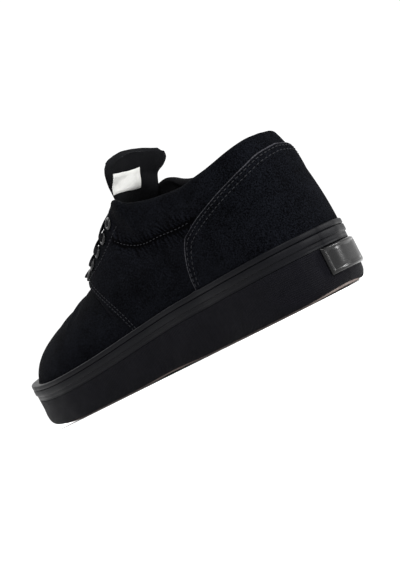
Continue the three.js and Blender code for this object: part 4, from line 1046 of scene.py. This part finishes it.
for inset in (2.2, 5.0):
    path, normals = on_wall(*counter_path(inset), FITTED_GAP + COUNTER_THICKNESS - 0.15)
    sew(path, normals, 3.2)
for side_sign in (1, -1):
    line_x = np.linspace(62, 134, 50)
    line_z = follow(COLLAR_LINE[:, 0], COLLAR_LINE[:, 1], line_x)
    line_turn = wall_turn(line_x, line_z)
    path, normals = on_wall(line_turn * side_sign, line_z, -0.75)
    sew(path, normals, 3.5, 0.6)
    for back in (2.2, 4.6):
        z_low = foxing_top_at(145.0) - 0.5
        rises = np.linspace(0, 1, 40)
        seam_turn = np.full(40, float(turn_of(SEAM_AT - back / LENGTH)) * side_sign)
        seam_z = last_point(seam_turn, rises)[:, 2]
        keep_rows = (seam_z > z_low) & (rises < 0.955)
        path = off_face(seam_turn[keep_rows], rises[keep_rows], np.zeros(keep_rows.sum()))
        sew(path, last_normal(seam_turn[keep_rows], rises[keep_rows]), 3.0)
    for inset in (2.4, 13.5):
        edge_turn = np.linspace(throat_turn(130.0), throat_turn(191.0), 60)
        folded, rise = below_edge(edge_turn, side_sign, inset)
        sew(off_face(folded, rise, np.zeros(60)), last_normal(folded, rise), 3.0)


print("stitches so far", len(stitch_points))

# %% [markdown]
# The tongue is a padded strip. It lies under the vamp and the eyestays, arches across the
# throat, and stands free at the top, where it opens a little like a shell. A coarse set of
# rows gives its shape, and a smooth curve through them gives the fine grid.

# %% Tongue
TONGUE_STATIONS = [
    (0.700, 0.62, 1.2), (0.675, 0.72, 2.6), (0.650, 0.76, 4.8), (0.625, 0.80, 4.4),
    (0.590, 0.84, 2.6), (0.540, 0.86, 2.0), (0.490, 0.86, 1.8), (0.430, 0.80, 1.4),
]
TONGUE_TOP = [
    (0.28, 0.419, 0.78, 0.060, 0.010), (0.52, 0.410, 0.90, 0.072, 0.016), (0.78, 0.402, 0.97, 0.078, 0.020),
    (0.94, 0.398, 0.94, 0.072, 0.020), (1.00, 0.396, 0.84, 0.058, 0.018),
]
ACROSS = np.linspace(-1, 1, 9)


def throat_arch(turn):
    return column(turn, "half") * BALL_WIDTH * column(turn, "drop") * HEEL_HEIGHT / (
        column(turn, "shoulder") * BALL_WIDTH) / 2


def tongue_row(reach, half, gap):
    turn = np.array([throat_turn(reach * LENGTH)])
    opening = 0.0 if is_closed(turn)[0] else (column(turn, "half") * BALL_WIDTH)[0]
    row = []
    for share in ACROSS:
        distance = abs(share) * half * TONGUE_HALF_WIDTH

        def tucked(side_sign, below):
            spot_turn, spot_rise = below_edge(turn, side_sign, below)
            return off_lining(spot_turn, spot_rise, np.array([-gap]))[0]

        if distance >= opening:
            row.append(tucked(-1 if share < 0 else 1, distance - opening))
        else:
            place_share = share * half * TONGUE_HALF_WIDTH / opening
            chord = mix(tucked(-1, 0.0), tucked(1, 0.0), (1 + place_share) / 2)
            row.append(chord + np.array([0, 0, throat_arch(turn)[0] * (1 - place_share**2)]))
    return np.array(row)


def smooth_rows(grid, at):
    """Smooth curves through the rows of a grid of points, read at the given places."""
    level = np.arange(grid.shape[0], dtype=float)
    lines = [[follow(level, grid[:, i, axis], at) for axis in range(3)] for i in range(grid.shape[1])]
    return np.array(lines).transpose(2, 0, 1)


def refine(grid, rows, columns):
    """A fine grid on smooth curves through a coarse one."""
    return smooth_rows(smooth_rows(grid, rows).swapaxes(0, 1), columns).swapaxes(0, 1)


def grid_normals(grid):
    return unit(np.cross(np.gradient(grid, axis=1), np.gradient(grid, axis=0)))


coarse = [tongue_row(*row) for row in TONGUE_STATIONS]
throat_height = coarse[-1][4][2]
for climb, reach, half, arch, wrap in TONGUE_TOP:
    z = mix(throat_height, TONGUE_HEIGHT, climb) - arch * BALL_WIDTH * ACROSS**2
    coarse.append(stack((reach - wrap * ACROSS**2) * LENGTH, ACROSS * half * TONGUE_HALF_WIDTH, z))
coarse = np.array(coarse)
fine_rows = np.linspace(0, len(coarse) - 1, 110)
fine_columns = np.linspace(0, 8, 65)
face_grid = refine(coarse, fine_rows, fine_columns)
across_share = (fine_columns / 4 - 1)[None, :]
row_share = fine_rows[:, None]
outward_normals = grid_normals(face_grid)
free = ease((row_share - 7.2) / 1.6)
broad_folds = 0.55 * np.sin(across_share * 9.0 + 0.6)
small_folds = 0.3 * np.sin(across_share * 17 + row_share * 0.5)
folds = free * (broad_folds + small_folds) * (1 - across_share**4)
binding = -0.55 * bell((12 - row_share) * 6.0 - 4.6, 0.9) * free
edge_round = np.clip(1 - np.abs(across_share) ** 6, 0, 1) ** 0.5
end_round = np.clip(np.minimum(row_share, 12 - row_share) / 0.35, 0, 1) ** 0.5
thick = TONGUE_THICKNESS * mix(1, 0.5, np.abs(across_share) ** 3) * mix(0.35, 1, end_round)
front_grid = face_grid + outward_normals * (folds * 0.5 + binding - 0.3 * (1 - edge_round))[..., None]
back_depth = thick * mix(0.55, 1, edge_round) - folds * 0.3 + binding
back_grid = face_grid - outward_normals * back_depth[..., None]
rows, wide = face_grid.shape[:2]
size = rows * wide
border = border_of(rows, wide)
middle = (front_grid.reshape(-1, 3)[border] + back_grid.reshape(-1, 3)[border]) / 2
centre_line = face_grid[:, 32:33, :] * np.ones((1, wide, 1))
away = unit((face_grid - centre_line).reshape(-1, 3)[border])
away = np.where((border >= (rows - 1) * wide)[:, None], np.array([0, 0, 1.0]), away)
middle = middle + away * 0.9
here = np.arange(len(border))
after = np.roll(here, -1)
outer_rim = np.stack([border, border[after], 2 * size + after, 2 * size + here], axis=1)
inner_rim = np.stack([2 * size + here, 2 * size + after, size + border[after], size + border], axis=1)
all_faces = np.vstack([grid_faces(rows, wide), grid_faces(rows, wide, start=size), outer_rim, inner_rim])
points = np.concatenate([front_grid.reshape(-1, 3), back_grid.reshape(-1, 3), middle])
along_rows = np.repeat(fine_rows * 9, wide)
along = np.concatenate([along_rows, along_rows, fine_rows[border // wide] * 9])
across = points[:, 1]
padded_tongue = make("padded_tongue", points, all_faces, [tongue_cloth], replaces=("tongue",),
                     fields={"along": along, "across": across})
top_row = int(np.argmin(np.abs(fine_rows - 11.25)))
for grid, sign in ((front_grid, 1), (back_grid, -1)):
    sew(grid[top_row, 4:-4], outward_normals[top_row, 4:-4] * sign, 3.0)
print("tongue grid", face_grid.shape[:2])

# %% Tongue label
tongue_tree = BVHTree.FromPolygons(points.tolist(), all_faces.tolist())
LABEL_CENTRE_Y, LABEL_DOWN, LABEL_WIDTH, LABEL_HEIGHT = 7.0, 18.4, 26.0, 11.0


def back_spot(y, z):
    """Where a ray from the heel meets the tongue's inner face, and which way the face looks."""
    spot, normal, _, _ = tongue_tree.ray_cast(Vector((60.0, y, z)), Vector((1, 0, 0)))
    return np.array(spot), np.array(normal) * (-1 if normal.x > 0 else 1)


label_rows, label_columns = 12, 24
outer_sheet, inner_sheet = [], []
for row in range(label_rows):
    for index in range(label_columns):
        y = LABEL_CENTRE_Y + LABEL_WIDTH * (index / (label_columns - 1) - 0.5)
        z = TONGUE_HEIGHT - LABEL_DOWN + LABEL_HEIGHT * (row / (label_rows - 1) - 0.5)
        spot, normal = back_spot(y, z)
        near_edge = min(row, label_rows - 1 - row, index, label_columns - 1 - index)
        outer_sheet.append(spot + normal * (0.95 if near_edge else 0.35))
        inner_sheet.append(spot + normal * 0.05)
label_points = np.array(outer_sheet + inner_sheet)
make("inner_label", label_points, sheet_faces(label_rows, label_columns), [label_cloth],
     replaces=("tongue_label",), fields={"along": label_points[:, 1], "across": label_points[:, 2]}, sharp=50)

# %% [markdown]
# A flat lace crosses the throat. The lowest run lies on top and goes down through the first
# eyelets. After that each end crosses, passes under the other side and comes up through the
# next eyelet. A ribbon is a flat oval section carried along a path, and it bunches up where it
# enters an eyelet.

# %% Laces
LACE_WIDTH, LACE_THICKNESS = 7.2, 1.3
ribbon_angle = np.linspace(0, 2 * np.pi, 17)[:-1]
ribbon_section = stack(np.sign(np.cos(ribbon_angle)) * np.abs(np.cos(ribbon_angle)) ** 0.55,
                       np.sign(np.sin(ribbon_angle)) * np.abs(np.sin(ribbon_angle)) ** 0.9)
lace_points, lace_faces, lace_along, lace_across = [], [], [], []


def lace_end(turn, side_sign, distance, over):
    spot_turn, spot_rise = below_edge(turn, side_sign, distance)
    if over:
        return off_face(spot_turn, spot_rise, 1.2 + 1.0 * ease(distance / 5))
    return off_lining(spot_turn, spot_rise, np.full_like(spot_turn, -0.85))


def lace_run(start, end, start_over, end_over, bump):
    share = np.linspace(-1, 1, 61)
    turn = throat_turn(mix(start["x"], end["x"], (1 + share) / 2))
    opening = column(turn, "half") * BALL_WIDTH
    distance = np.abs(share) * (opening + EYELET_INSET)
    path = np.zeros((61, 3))
    levels = {}
    for sign, eyelet_at, over in ((-1, start, start_over), (1, end, end_over)):
        levels[sign] = lace_end(turn, eyelet_at["side"], np.zeros(61), over)
        outside = (distance >= opening) & (np.sign(share) == sign)
        beyond = lace_end(turn, eyelet_at["side"], np.maximum(distance - opening, 0), over)
        path[outside] = beyond[outside]
    inside = distance < opening
    across = np.clip(share * (opening + EYELET_INSET) / opening, -1, 1)
    chord = mix(levels[-1], levels[1], ((1 + across) / 2)[:, None])
    lift = throat_arch(turn) * (1 - across**2) + bump * bell(across, 0.45)
    path[inside] = (chord + stack(0.0, 0.0, lift))[inside]
    return path


def ribbon(path, ends):
    """Carries the flat section along a path. ends names those that go down into an eyelet."""
    spots, at = resample(path, 0.8)
    for _ in range(5):
        spots[1:-1] = (spots[:-2] + 2 * spots[1:-1] + spots[2:]) / 4
    run = unit(np.gradient(spots, axis=0))
    reference = np.array([0.35, 0.0, 0.94])
    sideways = unit(np.cross(run, np.tile(reference, (len(run), 1))))
    if 0 in ends:
        sideways[:13] = sideways[13]
    if -1 in ends:
        sideways[-13:] = sideways[-14]
    normal = unit(np.cross(sideways, run))
    width = np.full(len(spots), LACE_WIDTH / 2)
    thick = np.full(len(spots), LACE_THICKNESS / 2)
    for index in ends:
        away = at if index == 0 else at[-1] - at
        pinch = 1 - ease((away - 2.5) / 5.5)
        width = mix(width, 1.75, pinch)
        thick = mix(thick, 1.25, pinch)
    points = spots[:, None, :] + sideways[:, None, :] * (ribbon_section[:, 0] * width[:, None])[..., None]
    points = points + normal[:, None, :] * (ribbon_section[:, 1] * thick[:, None])[..., None]
    add_tube(points, lace_points, lace_faces)
    lace_along.append(np.repeat(at, 16))
    lace_across.append((ribbon_section[:, 0] * width[:, None]).ravel())


def into_eyelet(eyelet):
    return np.array([eyelet["centre"] + eyelet["normal"] * lift for lift in (1.6, 0.6, -0.8, -2.4, -4.0)])


def find(side_sign, index):
    return next(item for item in eyelets if item["side"] == side_sign and item["index"] == index)


bar = lace_run(find(1, 0), find(-1, 0), True, True, 0.6)
ribbon(np.vstack([into_eyelet(find(1, 0))[::-1], bar, into_eyelet(find(-1, 0))]), (0, -1))
for index in range(EYELET_PAIRS - 1):
    for side_sign in (1, -1):
        start_eyelet, end_eyelet = find(side_sign, index), find(-side_sign, index + 1)
        on_top = side_sign == (1 if index % 2 else -1)
        path = lace_run(start_eyelet, end_eyelet, index > 0, False, 1.1 if on_top else -0.3)
        if index > 0:
            ribbon(np.vstack([into_eyelet(start_eyelet)[::-1], path]), (0,))
        else:
            ribbon(path, ())
LACE_END_PROFILE = [(0.3, -3.6), (1.8, -3.4), (1.9, 0.3), (1.2, 0.9), (0.2, 1.0)]
for side_sign in (1, -1):
    top_eyelet = find(side_sign, EYELET_PAIRS - 1)
    add_tube(lathe_on(top_eyelet["centre"], top_eyelet["normal"], LACE_END_PROFILE, 16), lace_points, lace_faces)
    lace_along.append(np.repeat([0.0, 1.0, 4.0, 5.0, 5.2], 16))
    lace_across.append(np.zeros(80))
make("flat_laces", np.vstack(lace_points), lace_faces, [lace_cloth], replaces=("laces",),
     fields={"along": np.concatenate(lace_along), "across": np.concatenate(lace_across)})

# %% All the stitches in one mesh
make("seam_stitches", np.vstack(stitch_points), stitch_faces, [thread])

# %% [markdown]
# The insole is a foam footbed covered with brushed cloth. It is dished under the heel and the
# ball, with a raised edge along the lining.

# %% Insole
def insole_edge(lift):
    z = bed_at(edge(RING_TURNS, SIDEWALL_THICKNESS)[:, 0]) + lift
    spot = off_lining(RING_TURNS, rise_at(RING_TURNS, z), np.full_like(z, -FITTED_GAP))
    return stack(spot[:, 0], spot[:, 1], z)


insole_top = CLEARANCE + INSOLE_THICKNESS
foot_ring = insole_edge(CLEARANCE)
rings = [foot_ring, insole_edge(insole_top - 0.5), insole_edge(insole_top)]
INSOLE_DISHING = (
    (0.97, 0.1), (0.92, 0.5), (0.86, 1.0), (0.8, 1.3), (0.6, 1.5), (0.4, 1.55), (0.2, 1.55), (0.04, 1.55),
)
for share, sink in INSOLE_DISHING:
    centre_x = mix(LENGTH * 0.12, LENGTH * 0.84, clamp(foot_ring[:, 0] / LENGTH))
    ring_x = mix(centre_x, foot_ring[:, 0], share)
    rings.append(stack(ring_x, foot_ring[:, 1] * share, bed_at(ring_x) + insole_top - sink))
insole_points = np.array(rings)
make("cloth_insole", insole_points, loft(rings, False), [insole_cloth], replaces=("insole",),
     fields={"along": insole_points[..., 0], "across": insole_points[..., 1]}, sharp=60)

# %% [markdown]
# The heel tab is a thin moulded label of glossy rubber, bare here, glued on the sidewall. It
# is bent around the heel, its border is a raised bead, and its face is slightly rippled, which
# breaks up the reflections.

# %% Heel tab
TAB_OUTER_Y, TAB_INNER_Y, TAB_HEIGHT, TAB_THICKNESS = 11.0, -24.0, 16.0, 1.7
TAB_COLUMNS, TAB_ROWS = 90, 44


def turn_at_y(y):
    return solve(lambda turn: outline(turn)[..., 1], np.array(y), -float(turn_of(0.08)), float(turn_of(0.08)))


tab_turns = np.linspace(turn_at_y(TAB_INNER_Y), turn_at_y(TAB_OUTER_Y), TAB_COLUMNS)
tab_top = float(wall_top(0.0)) - CLEARANCE
levels = np.linspace(tab_top - TAB_HEIGHT, tab_top, TAB_ROWS)
along_share, up_share = np.meshgrid(
    np.linspace(0, 1, TAB_COLUMNS), np.linspace(0, 1, TAB_ROWS), indexing="ij")
side_mm = np.minimum(along_share, 1 - along_share) * 36
border_mm = np.minimum(side_mm, np.minimum(up_share, 1 - up_share) * TAB_HEIGHT)
proud = CLEARANCE + TAB_THICKNESS * (0.35 + 0.6 * ease(border_mm / 0.9))
proud = proud - 0.35 * ease((border_mm - 1.6) / 0.8)
ripple = 0.22 * np.sin(along_share * 10 + 0.6)
proud = proud + ripple * ease((border_mm - 2) / 1.5)
tab_points = []
for lift in (proud, np.full_like(proud, -0.6)):
    spot = outline(tab_turns)[:, None, :] + outward(tab_turns)[:, None, :] * lift[..., None]
    tab_points.append(stack(spot[..., 0], spot[..., 1], levels[None, :] * np.ones((TAB_COLUMNS, 1))))
make("glossy_heel_tab", np.vstack([part.reshape(-1, 3) for part in tab_points]), sheet_faces(TAB_COLUMNS, TAB_ROWS),
     [tab_rubber], replaces=("heel_tab",), sharp=60)

# %% [markdown]
# A black object on white needs light that draws its edges. A large soft light from above on
# the camera's side fills the suede, and a weaker one from the toe's side draws the collar. Two
# narrow upright ones behind the heel put the highlight on the glossy tab, and the pale floor
# sends light back up into the sidewall.

# %% Floor and light
floor_finish = Finish("floor", Roughness=0.8, Specular_IOR_Level=0.2)
floor_finish.surface.inputs["Base Color"].default_value = (0.95, 0.95, 0.95, 1)
floor_mesh = bpy.data.meshes.new("floor")
FLOOR_REACH = 60.0
floor_corners = [(-FLOOR_REACH, -FLOOR_REACH, 0), (FLOOR_REACH, -FLOOR_REACH, 0), (FLOOR_REACH, FLOOR_REACH, 0), (-FLOOR_REACH, FLOOR_REACH, 0)]
floor_mesh.from_pydata(floor_corners, [], [(0, 1, 2, 3)])
floor_mesh.materials.append(floor_finish.material)
floor = bpy.data.objects.new("floor", floor_mesh)
bpy.context.scene.collection.objects.link(floor)
floor.location.z = -0.0002

world = bpy.data.worlds.new("studio")
world.use_nodes = True
world.node_tree.nodes["Background"].inputs["Color"].default_value = (1.0, 1.0, 1.0, 1)
world.node_tree.nodes["Background"].inputs["Strength"].default_value = 1.08
bpy.context.scene.world = world


def soft_light(name, place, aim, width, height, watts):
    lamp = bpy.data.lights.new(name, "AREA")
    lamp.shape = "RECTANGLE"
    lamp.size, lamp.size_y, lamp.energy = width, height, watts
    item = bpy.data.objects.new(name, lamp)
    item.location = place
    item.rotation_mode = "QUATERNION"
    item.rotation_quaternion = (Vector(aim) - Vector(place)).to_track_quat("-Z", "Y")
    bpy.context.scene.collection.objects.link(item)


soft_light("key", (-0.9, 0.9, 1.3), (0, 0, 0.05), 0.9, 0.9, 26)
soft_light("rim", (0.9, -0.3, 1.1), (0, 0, 0.08), 0.8, 0.8, 6)
soft_light("heel_strip", (-1.4, -0.12, 0.5), (-0.14, 0, 0.03), 0.1, 0.9, 15)
soft_light("inner_strip", (-1.0, -1.0, 0.5), (-0.14, 0, 0.03), 0.1, 0.9, 12)
bpy.context.scene.view_settings.view_transform = "Standard"
bpy.context.scene.view_settings.look = "None"
print("light ready")
